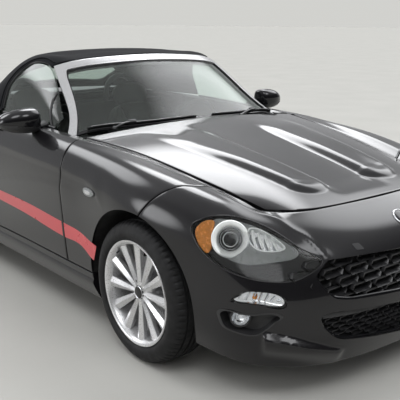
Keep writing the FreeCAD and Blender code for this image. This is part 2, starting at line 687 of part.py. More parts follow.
def make_structure():
    """Floor, firewall, wheelhouses and rear bulkhead that the skins sit on."""
    side = FLOOR_SIDE
    wall = size("wall_thickness")
    low, top = size("floor_height"), size("floor_height") + size("floor_thickness")
    front, rear = CABIN_FRONT, CABIN_REAR
    tub = block((-side, front - 120, low), (side, rear + wall, top))
    sill = size("sill_inner")
    for s in (-1, 1):
        a, b = sorted((s * sill, s * side))
        tub = tub.fuse(block((a, front, top), (b, rear - 100, size("sill_height"))))
    tunnel = size("tunnel_half_width")
    tub = tub.fuse(block((-tunnel, front, top), (tunnel, rear, top + size("tunnel_height"))))
    inside = block((-tunnel + wall, front - 130, low - 1),
                   (tunnel - wall, rear + 90, top + size("tunnel_height") - wall))
    tub = tub.cut(inside)
    feature("floor_tub", tub.removeSplitter())
    cover = outer_halo()
    cowl_top = size("belt_height") - 90
    plate = block((-side, front - wall, top), (side, front, cowl_top))
    cowl = block((-side, hood_axis()[0] - 20, cowl_top - wall), (side, front + 130, cowl_top))
    dash_top = block((-side, front + 60, cowl_top), (side, front + 85, cowl_top + 35))
    pillars = []
    for s in (-1, 1):
        a, b = sorted((s * PILLAR_INNER, s * side))
        pillars.append(block((a, front - 10, size("sill_height")), (b, front + 60, cowl_top - 15)))
    foot = block((590, front + 70, cowl_top), (side, front + 130, cowl_top + 135))
    foot = foot.cut(panel(SCREEN, (-0.4, 1.5), (0, 3), size("frame_depth") + size("seat_gap"), top=-200.0))
    firewall = plate.fuse([cowl, dash_top, foot, mirrored(foot)] + pillars)
    shaft_room = block((-tunnel + wall, front - 200, 0),
                       (tunnel - wall, rear + 200, top + size("tunnel_height") - wall))
    feature("firewall", firewall.cut(shaft_room).removeSplitter())
    rear_wall = block((-side, rear, top), (side, rear + wall, SHELF))
    shelf = block((-side, rear - 60, SHELF - wall), (side, rear + 150, SHELF))
    riser = block((-560, rear + 120, SHELF), (560, rear + 140, SHELF + 80))
    riser = riser.cut(panel(DECK, (0, 1), (0.02, 5.98), SKIN + size("seat_gap"), (7, 17), top=-100.0))
    feature("rear_bulkhead", rear_wall.fuse([shelf, riser]).cut(shaft_room).removeSplitter())
    houses = []
    for front_reach, rear_reach, axle, name in ((270, 635, FRONT_AXLE, "front"),
                                                (290, 540, REAR_AXLE, "rear")):
        y0, y1 = axle - front_reach, axle + rear_reach
        height = 700 if name == "front" else 760
        house = block((540, y0 - LENGTH / 2, size("sill_height") + 15), (880, y1 - LENGTH / 2, height))
        house = house.cut(arch(axle, spare=4)).cut(cover)
        house = house.cut(door_swing()) if name == "front" else house
        houses.append([house, mirrored(house)])
    feature("wheelhouses", Part.makeCompound(houses[0] + houses[1]))
    spacing, wide = size("rail_half_spacing"), size("rail_width")
    base, tall = size("rail_base"), size("rail_height")
    rails = []
    for s in (-1, 1):
        a, b = sorted((s * spacing, s * (spacing + wide)))
        rail = block((a, along(180), base), (b, front - wall, base + tall))
        rails.append(rail.fuse(block((a, along(180), 353.5), (b, along(230), base))))
    nose = block((-520, -LENGTH / 2, 353.5), (520, along(230), 370.5))
    nose = nose.cut(nose_cover(SEAT, -160.0))
    front_frame = nose.fuse(rails).removeSplitter()
    rails = []
    for s in (-1, 1):
        a, b = sorted((s * spacing, s * (spacing + wide)))
        rails.append(block((a, rear + wall, base), (b, LENGTH / 2 - 130, base + tall)))
    floor = block((-540, rear + wall, base + tall), (540, LENGTH / 2 - 170, base + tall + 15))
    tail = block((-520, LENGTH / 2 - 200, base + 40), (520, LENGTH / 2, base + 60))
    tail = tail.cut(tail_cover(SEAT, -160.0))
    rear_frame = floor.fuse(rails + [tail]).removeSplitter()
    feature("rails", Part.makeCompound([front_frame, rear_frame]))


def outer_halo():
    """Everything from well outside the body's skin to just under it, on the left side."""
    return panel(BODY, (4.0, 14.0), (0, 6), SEAT, (61, 17), top=-160.0)


def formula(text):
    """Sheet formula in which each word is the alias of a size."""
    words = []
    for word in text.split():
        words.append("sizes." + word if word in SIZES else word)
    return " ".join(words)


CENTRE = "( front_overhang + wheelbase + rear_overhang ) / 2"
AXLES = {"front": "front_overhang - " + CENTRE, "rear": "front_overhang + wheelbase - " + CENTRE}


def tube(name, x, y, z, radius, height):
    """Cylinder across the car from its lowest x."""
    return cylinder(name, formula(x), formula(y), formula(z), formula(radius), formula(height), ACROSS)


def beam(name, low, extent):
    """Box from the formulas of its lowest corner and of its extents in x, y and z."""
    low = [formula(text) for text in low]
    extent = [formula(text) for text in extent]
    return slab(name, *low, *extent)


def make_wheel(corner, end, side):
    """Rim with hub, spokes and brake disc, and its tyre."""
    track = "track_%s / 2" % end
    y, z = AXLES[end], "tyre_radius"

    def across(name, start, radius, depth):
        """Round piece between two depths, counted from the wheel's middle plane outwards."""
        x = "%s + %s" % (track, start) if side > 0 else "0 - %s - %s - %s" % (track, start, depth)
        return tube(corner + "_" + name, x, y, z, radius, depth)

    half = "( 0 - rim_width / 2 )"
    barrel = across("barrel", half, "rim_seat_radius", "rim_width")
    lips = [across("lip_in", half, "rim_seat_radius + rim_flange", "6"),
            across("lip_out", "( rim_width / 2 - 6 )", "rim_seat_radius + rim_flange", "6")]
    solid = doc.addObject("Part::MultiFuse", corner + "_outside")
    solid.Shapes = [barrel] + lips
    room = across("room", "( 0 - rim_width )", "rim_seat_radius - rim_wall", "2 * rim_width")
    ring = cut(corner + "_ring", solid, room)
    face = "( rim_width / 2 - rim_recess - wheel_hub_depth )"
    hub = across("hub", face, "wheel_hub_radius", "wheel_hub_depth")
    spokes = []
    for index in range(int(size("spoke_count"))):
        angle = 2 * math.pi * index / size("spoke_count")
        x = "%s + rim_width / 2 - rim_recess - spoke_depth" % track
        if side < 0:
            x = "0 - %s - rim_width / 2 + rim_recess" % track
        co, si = math.cos(angle), math.sin(angle)
        start, half_width = "( wheel_hub_radius - 8 )", "( spoke_width / 2 )"
        spoke = beam("%s_spoke_%d" % (corner, index),
                     (x, "%s - %s * %.9f - %s * %.9f" % (y, half_width, co, start, si),
                      "%s - %s * %.9f + %s * %.9f" % (z, half_width, si, start, co)),
                     ("spoke_depth", "spoke_width", "rim_seat_radius - rim_wall - wheel_hub_radius + 11"))
        spoke.Placement.Rotation = FreeCAD.Rotation(FreeCAD.Vector(1, 0, 0), math.degrees(angle))
        spokes.append(spoke)
    star = doc.addObject("Part::MultiFuse", corner + "_star")
    star.Shapes = [ring, hub] + spokes
    disc = across("disc_plate", "( 0 - disc_inset - disc_thickness )", "disc_radius", "disc_thickness")
    hat = across("disc_hat", "( 0 - disc_inset )", "wheel_hub_radius - 10",
                 "( disc_inset + rim_width / 2 - rim_recess - wheel_hub_depth )")
    bores = [across("bore_%d" % index, "( 0 - rim_width )", "spindle_radius + seat_gap",
                    "( rim_width + spindle_reach + seat_gap )") for index in range(2)]
    rim = cut(corner + "_bored", star, bores[0])
    plates = doc.addObject("Part::MultiFuse", corner + "_plates")
    plates.Shapes = [disc, hat]
    plate = cut(corner + "_disc", plates, bores[1])
    named("rim_" + corner, rim)
    named("brake_disc_" + corner, plate)
    make_tyre(corner, end, side)


def make_tyre(corner, end, side):
    """Tyre turned from its section, with round shoulders."""
    outer, seat = size("tyre_radius"), size("rim_seat_radius") + 0.2
    half, bead = size("tyre_width") / 2, size("rim_width") / 2 - 7
    flank = seat + size("rim_flange") + 6
    points = [(-bead, seat), (-bead, flank), (-half + 2, flank + 22), (-half, (outer + seat) / 2 + 4),
              (-half + 8, outer - 14), (-half + 26, outer - 1.5), (-half + 50, outer)]
    points += [(-a, b) for a, b in reversed(points)]
    corners = [FreeCAD.Vector(a, 0, b) for a, b in points]
    section = Part.Face(Part.makePolygon(corners + corners[:1]))
    shape = section.revolve(FreeCAD.Vector(0, 0, 0), FreeCAD.Vector(1, 0, 0), 360)
    track = size("track_" + end) / 2
    axle = FRONT_AXLE if end == "front" else REAR_AXLE
    tyre = feature("tyre_" + corner, shape)
    tyre.Placement.Base = FreeCAD.Vector(side * track, axle - LENGTH / 2, outer)


def mirror_x(low, width, side):
    """Formula of the lowest x of a piece that starts at low on the left side."""
    return low if side > 0 else "0 - ( %s ) - ( %s )" % (low, width)


def carrier(name, end, side):
    """Upright, spindle and caliper that carry one wheel."""
    y = AXLES[end]
    x = mirror_x("kingpin_half", "0", side)
    post = cylinder(name + "_post", formula(x), formula(y), formula("tyre_radius - kingpin_length / 2"),
                    formula("kingpin_radius"), formula("kingpin_length"))
    reach = "track_%s / 2 + spindle_reach - kingpin_half" % end
    spindle = tube(name + "_spindle", mirror_x("kingpin_half", reach, side), y, "tyre_radius",
                   "spindle_radius", reach)
    bracket = beam(name + "_bracket", (mirror_x("kingpin_half - 20", "40", side), y, "tyre_radius - 30"),
                   ("40", "disc_radius + 16", "60"))
    disc_x = "track_%s / 2 - disc_inset - disc_thickness" % end
    caliper = beam(name + "_caliper",
                   (mirror_x("kingpin_half + 20", "66", side), y + " + disc_radius - 44",
                    "tyre_radius - 42"),
                   ("66", "60", "84"))
    slot = tube(name + "_slot", mirror_x("%s - 2" % disc_x, "disc_thickness + 4", side), y, "tyre_radius",
                "disc_radius + 4", "disc_thickness + 4")
    return [post, spindle, bracket, cut(name + "_grip", caliper, slot)]


CORNERS = (("fl", "front", 1), ("fr", "front", -1), ("rl", "rear", 1), ("rr", "rear", -1))


def make_running_gear():
    """Subframes with their arms, knuckles and wheels."""
    for side, hand in ((1, "left"), (-1, "right")):
        knuckle = carrier("knuckle_" + hand + "_part", "front", side)
        arm = beam("steering_arm_" + hand,
                   (mirror_x("kingpin_half - 20", "40", side), AXLES["front"] + " - 120",
                    "tyre_radius - 74"),
                   ("40", "120", "24"))
        fused("knuckle_" + hand, knuckle + [arm])
    for end in ("front", "rear"):
        y = AXLES[end]
        parts = [beam(end + "_cross", ("0 - rail_half_spacing - rail_width", y + " - 50", "subframe_base"),
                      ("2 * rail_half_spacing + 2 * rail_width", "100",
                       "engine_base - subframe_base"))]
        for side, hand in ((1, "left"), (-1, "right")):
            for level, height in (("low", "tyre_radius - kingpin_length / 2 - seat_gap - arm_thickness"),
                                  ("high", "tyre_radius + kingpin_length / 2 + seat_gap")):
                start = "rail_half_spacing + rail_width"
                reach = "kingpin_half - rail_half_spacing - rail_width"
                parts.append(beam("%s_arm_%s_%s" % (end, level, hand),
                                  (mirror_x(start, reach, side), y + " - arm_half_width", height),
                                  (reach, "2 * arm_half_width", "arm_thickness")))
                parts.append(cylinder("%s_joint_%s_%s" % (end, level, hand),
                                      formula(mirror_x("kingpin_half", "0", side)), formula(y),
                                      formula(height), formula("arm_half_width"),
                                      formula("arm_thickness")))
            parts.append(beam("%s_tower_%s" % (end, hand),
                              (mirror_x("rail_half_spacing", "rail_width", side), y + " - 50",
                               "subframe_base"),
                              ("rail_width", "100", "rail_base - subframe_base")))
            if end == "rear":
                parts += carrier("rear_part_" + hand, "rear", side)
        fused(end + "_subframe", parts)
    for corner, end, side in CORNERS:
        make_wheel(corner, end, side)


def seat_part(hand, part, side, low, extent, lean=0):
    x = mirror_x("seat_half_spacing - seat_width / 2", "seat_width", side)
    thing = beam("seat_%s_%s" % (hand, part), (x, low[0], low[1]), ("seat_width",) + extent)
    thing.Placement.Rotation = FreeCAD.Rotation(FreeCAD.Vector(1, 0, 0), lean)
    return thing


def make_cabin():
    """Seats, dashboard, console, steering column and wheel, and roll hoops."""
    seats = []
    for side, hand in ((1, "left"), (-1, "right")):
        floor = "floor_height + floor_thickness"
        front = "front_overhang + wheelbase - seat_to_axle - " + CENTRE
        parts = [seat_part(hand, "cushion", side, (front, floor), ("520", "210")),
                 seat_part(hand, "back", side, (front + " + 430", floor + " + 90"), ("130", "590"), -16)]
        x = mirror_x("seat_half_spacing - 130", "260", side)
        head = beam("seat_%s_head" % hand, (x, front + " + 590", floor + " + 640"),
                    ("260", "90", "170"))
        head.Placement.Rotation = FreeCAD.Rotation(FreeCAD.Vector(1, 0, 0), -12)
        whole = doc.addObject("Part::MultiFuse", "seat_" + hand)
        whole.Shapes = parts + [head]
        seats.append(whole)
    grouped("seats", seats)
    half = "( door_inner - side_clearance - pillar_width )"
    wide = "2 * " + half
    dash = beam("dash_low", ("0 - " + half, "cabin_front - " + CENTRE, "belt_height - 345"),
                (wide, "350", "230"))
    hood = beam("dash_top", ("0 - " + half, "cabin_front + 130 - " + CENTRE, "belt_height - 115"),
                (wide, "220", "50"))
    fused("dashboard", [dash, hood])
    top = "floor_height + floor_thickness + tunnel_height"
    reach = "front_overhang + wheelbase - bulkhead_to_axle - cabin_front - 590"
    named("console", beam("console_box", ("30 - tunnel_half_width", "cabin_front + 350 - " + CENTRE, top),
                          ("2 * tunnel_half_width - 60", reach, "85")))
    middle = FreeCAD.Vector(size("seat_half_spacing"), along(2010), 770)
    tilt = math.radians(size("wheel_tilt"))
    axis = FreeCAD.Vector(0, math.cos(tilt), math.sin(tilt))
    column = Part.makeCylinder(32, 260, middle - axis * 290.3, axis)
    face = size("cabin_front") + 350 - LENGTH / 2
    column = column.cut(block((0, face - 400, 400), (800, face, 1000)))
    feature("steering_column", column)
    hub = Part.makeCylinder(48, 50, middle - axis * 30, axis)
    rim = Part.makeTorus(size("steering_radius"), size("steering_rim"), middle, axis)
    wheel = rim.fuse(hub)
    for turn in (0, 90, 180):
        spoke = Part.makeBox(size("steering_radius") - 32, 34, 14, FreeCAD.Vector(26, -17, -7))
        spoke.rotate(FreeCAD.Vector(0, 0, 0), FreeCAD.Vector(0, 0, 1), -turn)
        spoke.rotate(FreeCAD.Vector(0, 0, 0), FreeCAD.Vector(1, 0, 0), -(90 - size("wheel_tilt")))
        spoke.translate(middle)
        wheel = wheel.fuse(spoke)
    feature("steering_wheel", wheel)
    hoops = []
    radius = 0.3 * (size("roof_height") - SHELF)
    for side in (-1, 1):
        centre = FreeCAD.Vector(side * size("seat_half_spacing"), CABIN_REAR - 32, SHELF + radius / 2)
        ring = Part.makeTorus(radius, size("hoop_tube"), centre, FreeCAD.Vector(0, 1, 0))
        hoops.append(ring.cut(block((-800, centre.y - 50, SHELF - 260), (800, centre.y + 50, SHELF))))
    feature("roll_hoops", Part.makeCompound(hoops))
    wipers = [panel(SCREEN, (0.2, 0.26), ends, 7.7, (3, 9), top=-6.0) for ends in ((0.9, 2.6), (3.1, 5.0))]
    feature("wipers", Part.makeCompound(wipers))


def make_drive():
    """Engine block, gearbox with shaft and final drive, and the exhaust."""
    named("engine_block", beam("engine_body",
                               ("0 - engine_width / 2", "engine_front - " + CENTRE, "engine_base"),
                               ("engine_width", "engine_length", "engine_height")))
    gearbox = beam("gearbox", ("0 - 80", "engine_front + engine_length - " + CENTRE, "235"),
                   ("160", "150", "150"))
    start = "engine_front + engine_length + 150 - " + CENTRE
    along_y = FreeCAD.Rotation(FreeCAD.Vector(1, 0, 0), -90)
    reach = "front_overhang + wheelbase - 90 - engine_front - engine_length - 150"
    shaft = cylinder("propeller_shaft", "0", formula(start), "300", "32", formula(reach), along_y)
    final = beam("final_drive", ("0 - 110", AXLES["rear"] + " - 90", "engine_base"), ("220", "180", "150"))
    fused("driveline", [gearbox, shaft, final])
    rear_end = "front_overhang + wheelbase + 620 - " + CENTRE
    pipe = cylinder("exhaust_pipe", "0 - 250", formula("cabin_front - 80 - " + CENTRE), "144", "20",
                    formula("front_overhang + wheelbase + 620 - cabin_front + 80"), along_y)
    muffler = tube("muffler", "0 - 440", rear_end, "222", "75", "880")
    parts = [pipe, muffler]
    for side in (-1, 1):
        parts.append(cylinder("tail_pipe_%s" % ("left" if side > 0 else "right"), str(side * 350),
                              formula(rear_end), "188", "34", "228", along_y))
        parts.append(beam("hanger_%s" % ("left" if side > 0 else "right"),
                          (mirror_x("400", "40", side), rear_end + " - 15", "280"),
                          ("40", "30", "rail_base - 280")))
    fused("exhaust", parts)


make_body_skins()
make_lamps()
hood_hinges = make_top_skins()
make_glasshouse()
make_doors(hood_hinges)
make_structure()
make_running_gear()
make_cabin()
make_drive()
doc.recompute()
for thing in doc.Objects:
    if "Invalid" in thing.State or "Error" in thing.State:
        raise RuntimeError("failed: " + thing.Label)
for piece in pieces:
    if piece.Shape.isNull() or not piece.Shape.isValid():
        raise RuntimeError("no valid shape: " + piece.Label)
os.makedirs("parts", exist_ok=True)
for piece in pieces:
    piece.Shape.exportStep("parts/%s.step" % piece.Label)
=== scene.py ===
import math
import bmesh
import bpy
import numpy as np
from mathutils import Matrix, Vector


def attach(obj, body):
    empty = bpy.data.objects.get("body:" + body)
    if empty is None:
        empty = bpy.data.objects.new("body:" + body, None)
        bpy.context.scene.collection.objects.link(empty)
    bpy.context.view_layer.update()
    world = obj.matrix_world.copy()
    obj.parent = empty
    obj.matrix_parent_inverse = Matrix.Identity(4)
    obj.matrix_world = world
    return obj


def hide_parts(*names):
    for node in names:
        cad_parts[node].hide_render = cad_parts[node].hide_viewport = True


# A small two-seat convertible car with its soft top closed. Lengths in the drawn tables are
# millimetres with stations counted from the nose; everything else is in metres.

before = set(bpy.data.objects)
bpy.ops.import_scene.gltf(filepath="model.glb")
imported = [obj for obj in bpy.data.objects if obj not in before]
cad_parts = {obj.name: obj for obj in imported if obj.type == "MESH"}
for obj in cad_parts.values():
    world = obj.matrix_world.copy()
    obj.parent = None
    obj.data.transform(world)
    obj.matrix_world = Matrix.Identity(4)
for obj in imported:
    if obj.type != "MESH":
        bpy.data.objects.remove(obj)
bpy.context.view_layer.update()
scene = bpy.context.scene
scene.view_settings.view_transform = "Standard"

FRONT_AXLE, REAR_AXLE, MIDDLE = 870, 3180, 2036
HUB = 308
TURN = 2 * math.pi


def metres(points):
    """Drawn points, in metres in the car's frame."""
    return (np.asarray(points, float) - [0, MIDDLE, 0]) / 1000


def smooth(value):
    """Rises softly from 0 to 1."""
    value = np.clip(value, 0, 1)
    return value * value * (3 - 2 * value)


def weights(knots, at):
    """Weights of a natural cubic spline through the knots, one row for each place."""
    count = len(knots)
    step = np.diff(knots)
    system, load = np.eye(count), np.zeros((count, count))
    for i in range(1, count - 1):
        system[i, i - 1:i + 2] = step[i - 1], 2 * (step[i - 1] + step[i]), step[i]
        load[i, i - 1:i + 2] = 6 / step[i - 1], -6 / step[i - 1] - 6 / step[i], 6 / step[i]
    bend = np.linalg.solve(system, load)
    i = np.clip(np.searchsorted(knots, at, side="left") - 1, 0, count - 2)
    a = (knots[i + 1] - at) / step[i]
    b = (at - knots[i]) / step[i]
    result = ((a ** 3 - a) * step[i] ** 2 / 6)[:, None] * bend[i]
    result += ((b ** 3 - b) * step[i] ** 2 / 6)[:, None] * bend[i + 1]
    index = np.arange(len(at))
    result[index, i] += a
    result[index, i + 1] += b
    return result


def through(knots, values, at):
    """Natural cubic through a few values."""
    at = np.clip(at, knots[0], knots[-1])
    return (weights(np.array(knots, float), at.ravel()) @ np.array(values, float)).reshape(at.shape)


# Surfaces of the body, in rows from the nose to the tail

class Net:
    """Smooth surface through drawn sections, in millimetres with stations from the nose."""

    def __init__(self, rows, mirror_rows=False, mirror_columns=False):
        table = np.array(rows, float)
        flip = np.array([-1.0, 1.0, 1.0])
        self.first, self.last = 0, len(rows) - 1
        if mirror_rows:
            table = np.concatenate([table[2:0:-1] * flip, table, table[-2:-4:-1] * flip])
            self.first = 2
        if mirror_columns:
            table = np.concatenate([table, table[:, -2::-1] * flip], axis=1)
        self.table = table
        middle = table.shape[1] // 2
        along = np.linalg.norm(np.diff(table[:, middle], axis=0), axis=1)
        across = np.linalg.norm(np.diff(table, axis=1), axis=2).mean(axis=0)
        self.long = np.concatenate([[0], np.cumsum(along)])
        self.wide = np.concatenate([[0], np.cumsum(across)])

    @staticmethod
    def spread(knots, index):
        i = np.clip(np.floor(index).astype(int), 0, len(knots) - 2)
        return knots[i] + (index - i) * (knots[i + 1] - knots[i])

    def sampled(self, row, column):
        a = weights(self.long, self.spread(self.long, row + self.first))
        b = weights(self.wide, self.spread(self.wide, column))
        return np.einsum("ni,nj,ijk->nk", a, b, self.table)

    def points(self, row, column):
        """Points at rows and columns. The rows past the first and last run back along the other side."""
        row, column = np.broadcast_arrays(np.asarray(row, float), np.asarray(column, float))
        shape = row.shape
        row, column = row.ravel(), column.ravel()
        if not self.first:
            return self.sampled(row, column).reshape(shape + (3,))
        near = np.where(row < 0, -row, np.where(row > self.last, 2 * self.last - row, row))
        side = np.where((row < 0) | (row > self.last), -1.0, 1.0)
        far = np.where(near < self.last / 2, -near, 2 * self.last - near)
        t = np.clip(1 - np.abs(near - far), 0, 1)
        share = (0.5 * t * t * (3 - 2 * t))[:, None]
        far = np.clip(far, -1, self.last + 1)
        found = (1 - share) * self.sampled(near, column)
        found += share * self.sampled(far, column) * np.array([-1.0, 1.0, 1.0])
        found[:, 0] *= side
        return found.reshape(shape + (3,))

    def normals(self, row, column):
        d = 0.02
        a = self.points(row + d, column) - self.points(row - d, column)
        b = self.points(row, column + d) - self.points(row, column - d)
        n = np.cross(a, b)
        return n / np.linalg.norm(n, axis=-1, keepdims=True)


def section(station, *places):
    """Drawn section at one station, from places of x and z."""
    return [(x, station, z) for x, z in places]


BODY = Net([
    [(0, 70, 150), (0, 38, 225), (0, 18, 312), (0, 30, 430), (0, 66, 528), (0, 155, 632), (0, 283, 703)],
    [(320, 92, 150), (325, 60, 228), (328, 42, 314), (326, 54, 436), (322, 92, 540), (316, 180, 638),
     (305, 302, 702)],
    [(560, 170, 152), (570, 140, 235), (575, 128, 322), (572, 140, 445), (560, 186, 560), (530, 262, 650),
     (455, 345, 700)],
    [(706, 300, 160), (722, 275, 248), (728, 268, 340), (726, 282, 462), (706, 332, 590), (640, 390, 690),
     (522, 430, 700)],
    section(520, (770, 180), (796, 268), (808, 390), (808, 530), (782, 662), (690, 745), (545, 724)),
    section(870, (800, 185), (836, 290), (858, 440), (860, 600), (838, 728), (745, 812), (596, 796)),
    section(1220, (806, 180), (830, 285), (840, 430), (845, 600), (832, 745), (765, 842), (640, 848)),
    section(1463, (800, 175), (822, 280), (834, 430), (842, 600), (830, 750), (775, 850), (690, 868)),
    section(2000, (795, 175), (815, 280), (830, 430), (840, 600), (825, 760), (775, 868), (700, 885)),
    section(2540, (795, 175), (818, 280), (835, 430), (848, 600), (838, 760), (785, 880), (700, 900)),
    section(2830, (800, 180), (826, 285), (848, 430), (862, 600), (852, 760), (790, 885), (680, 905)),
    section(3180, (800, 185), (836, 290), (862, 430), (868, 600), (852, 770), (780, 880), (640, 905)),
    section(3530, (790, 190), (822, 290), (845, 430), (850, 600), (832, 765), (755, 865), (615, 892)),
    [(745, 3800, 215), (775, 3810, 300), (795, 3815, 430), (798, 3812, 600), (775, 3800, 750),
     (705, 3770, 845), (585, 3740, 880)],
    [(600, 3950, 225), (625, 3972, 310), (640, 3980, 440), (640, 3975, 600), (620, 3955, 745),
     (575, 3915, 835), (520, 3870, 872)],
    [(310, 4010, 230), (315, 4036, 320), (320, 4044, 450), (320, 4038, 610), (315, 4015, 750),
     (300, 3975, 838), (290, 3935, 870)],
    [(0, 4020, 230), (0, 4048, 320), (0, 4054, 450), (0, 4050, 610), (0, 4028, 750), (0, 3990, 838),
     (0, 3950, 870)],
], mirror_rows=True)

ROOF = Net([
    section(1700, (700, 880), (690, 895), (668, 905), (500, 925), (250, 935), (0, 938)),
    section(1880, (705, 884), (672, 965), (602, 1045), (450, 1160), (235, 1190), (0, 1205)),
    section(2045, (705, 888), (645, 1030), (545, 1155), (425, 1200), (220, 1216), (0, 1222)),
    section(2300, (705, 895), (655, 1038), (572, 1166), (440, 1215), (225, 1229), (0, 1233)),
    section(2560, (700, 903), (650, 994), (568, 1080), (434, 1166), (225, 1206), (0, 1217)),
    section(2800, (680, 916.8), (622, 950), (535, 992), (405, 1064), (212, 1128), (0, 1146)),
    section(2950, (640, 928.4), (588, 944), (505, 968), (385, 1010), (203, 1044), (0, 1056)),
    section(3100, (570, 940), (530, 943), (465, 946), (365, 949), (190, 952), (0, 954)),
], mirror_columns=True)

SCREEN = Net([
    [(720, 1612, 838), (640, 1590, 862), (400, 1525, 880), (0, 1490, 888)],
    [(640, 1710, 925), (580, 1690, 940), (360, 1635, 965), (0, 1610, 975)],
    [(585, 1870, 1050), (520, 1845, 1066), (320, 1800, 1095), (0, 1780, 1108)],
    [(540, 2035, 1166), (480, 2010, 1184), (290, 1975, 1208), (0, 1962, 1218)],
], mirror_columns=True)

HOOD = Net([
    [(512, 440, 703), (427, 346, 706), (220, 301, 707), (0, 293, 708)],
    [(542, 560, 736), (424, 505, 748), (218, 475, 752), (0, 468, 752)],
    [(591, 880, 800), (430, 860, 818), (220, 850, 826), (0, 850, 828)],
    [(635, 1225, 849), (450, 1200, 868), (230, 1190, 880), (0, 1190, 884)],
    [(684, 1478, 869), (480, 1455, 890), (240, 1440, 905), (0, 1435, 910)],
], mirror_columns=True)

DECK = Net([
    section(2850, (670, 905), (560, 915), (300, 922), (0, 925)),
    section(3200, (631, 908), (500, 924), (260, 927), (0, 928)),
    section(3540, (606, 892), (450, 908), (230, 922), (0, 927)),
    [(572, 3745, 879), (430, 3790, 888), (220, 3815, 900), (0, 3820, 904)],
    [(510, 3860, 872), (395, 3900, 874), (200, 3934, 876), (0, 3940, 878)],
], mirror_columns=True)


# Paths, outlines and points on a surface

def circle(radius, steps):
    """Pairs round a circle."""
    angles = np.linspace(0, TURN, steps, endpoint=False)
    return [(radius * math.cos(angle), radius * math.sin(angle)) for angle in angles]


def squared_circle(power, steps):
    """Pairs round a circle that is pressed towards a square, each with the plain cosine."""
    result = []
    for c, s in circle(1.0, steps):
        reach = (abs(c) ** power + abs(s) ** power) ** (-1 / power)
        result.append((c * reach, s * reach, c))
    return result


def smooth_path(points, count):
    """Even points of a spline through a few points."""
    points = np.array(points, float)
    knots = np.concatenate([[0], np.cumsum(np.linalg.norm(np.diff(points, axis=0), axis=1))])
    return weights(knots, np.linspace(0, knots[-1], count)) @ points


def smooth_loop(points, count):
    """Even points of a closed spline through a few points."""
    points = np.array(points, float)
    wrapped = np.concatenate([points[-3:], points, points[:3]])
    knots = np.concatenate([[0], np.cumsum(np.linalg.norm(np.diff(wrapped, axis=0), axis=1))])
    at = np.linspace(knots[3], knots[3 + len(points)], count, endpoint=False)
    return weights(knots, at) @ wrapped


def rounded(outline, radius, steps=5):
    """Outline in a plane with its corners rounded."""
    result = []
    points = [Vector(p) for p in outline]
    for i, p in enumerate(points):
        a, b = points[i - 1] - p, points[(i + 1) % len(points)] - p
        reach = min(radius, 0.45 * a.length, 0.45 * b.length)
        start, end = p + a.normalized() * reach, p + b.normalized() * reach
        for step in range(steps + 1):
            t = step / steps
            result.append((1 - t) ** 2 * start + 2 * t * (1 - t) * p + t * t * end)
    return result


def scaled(places, share):
    """Outline shrunk towards its middle."""
    places = np.array(places, float)
    centre = places.mean(axis=0)
    return centre + (places - centre) * share


def on_net(net, places, lift=0.0, rise=None):
    """Points in metres on a net at places of row and column, lifted in millimetres, and the
    normals there."""
    row, column = np.array(places, float).T
    points, normals = net.points(row, column), net.normals(row, column)
    height = lift + (rise(points, row, column) if rise else 0)
    return metres(points + normals * np.reshape(height, (-1, 1))), normals


def at_body(place, depth):
    """Point below the body's surface, and the normal there."""
    points, normals = on_net(BODY, [place], -depth)
    return Vector(points[0]), Vector(normals[0])


# Meshes

def link(name, mesh):
    piece = bpy.data.objects.new(name, mesh)
    scene.collection.objects.link(piece)
    return piece


def solid(name, verts, faces):
    """Closed mesh with its faces turned outwards."""
    mesh = bpy.data.meshes.new(name)
    mesh.from_pydata([tuple(v) for v in verts], [], [tuple(int(i) for i in f) for f in faces])
    work = bmesh.new()
    work.from_mesh(mesh)
    bmesh.ops.recalc_face_normals(work, faces=work.faces)
    work.to_mesh(mesh)
    work.free()
    return link(name, mesh)


def grid_faces(n, m, start=0):
    i, j = np.meshgrid(np.arange(n - 1), np.arange(m - 1), indexing="ij")
    a = (start + i * m + j).ravel()
    return np.stack([a, a + m, a + m + 1, a + 1], -1)


def band_faces(rings, steps, start=0):
    """Faces between closed rings of points that follow each other."""
    faces = []
    for i in range(rings - 1):
        low, high = start + i * steps, start + (i + 1) * steps
        for j in range(steps):
            k = (j + 1) % steps
            faces.append((low + j, low + k, high + k, high + j))
    return faces


def brick(name, outer, inner):
    """Closed piece between two matching grids."""
    n, m = outer.shape[:2]
    total = n * m
    index = np.arange(total).reshape(n, m)
    ring = np.concatenate([index[:-1, 0], index[-1, :-1], index[:0:-1, -1], index[0, :0:-1]])
    after = np.roll(ring, -1)
    wall = np.stack([after, ring, ring + total, after + total], -1)
    lower = grid_faces(n, m, total)[:, ::-1]
    verts = metres(np.concatenate([outer.reshape(-1, 3), inner.reshape(-1, 3)]))
    return solid(name, verts, np.concatenate([grid_faces(n, m), lower, wall]))


def edge_lines(count, length, radius):
    """Shares of a side with extra lines near both ends, and the drop of its rounded edge."""
    near = np.array([0, 0.12, 0.4]) * radius / length
    shares = np.concatenate([near, np.linspace(radius / length, 1 - radius / length, count),
                             1 - near[::-1]])
    reach = np.maximum(radius - np.minimum(shares, 1 - shares) * length, 0)
    return shares, radius - np.sqrt(np.maximum(radius ** 2 - reach ** 2, 0))


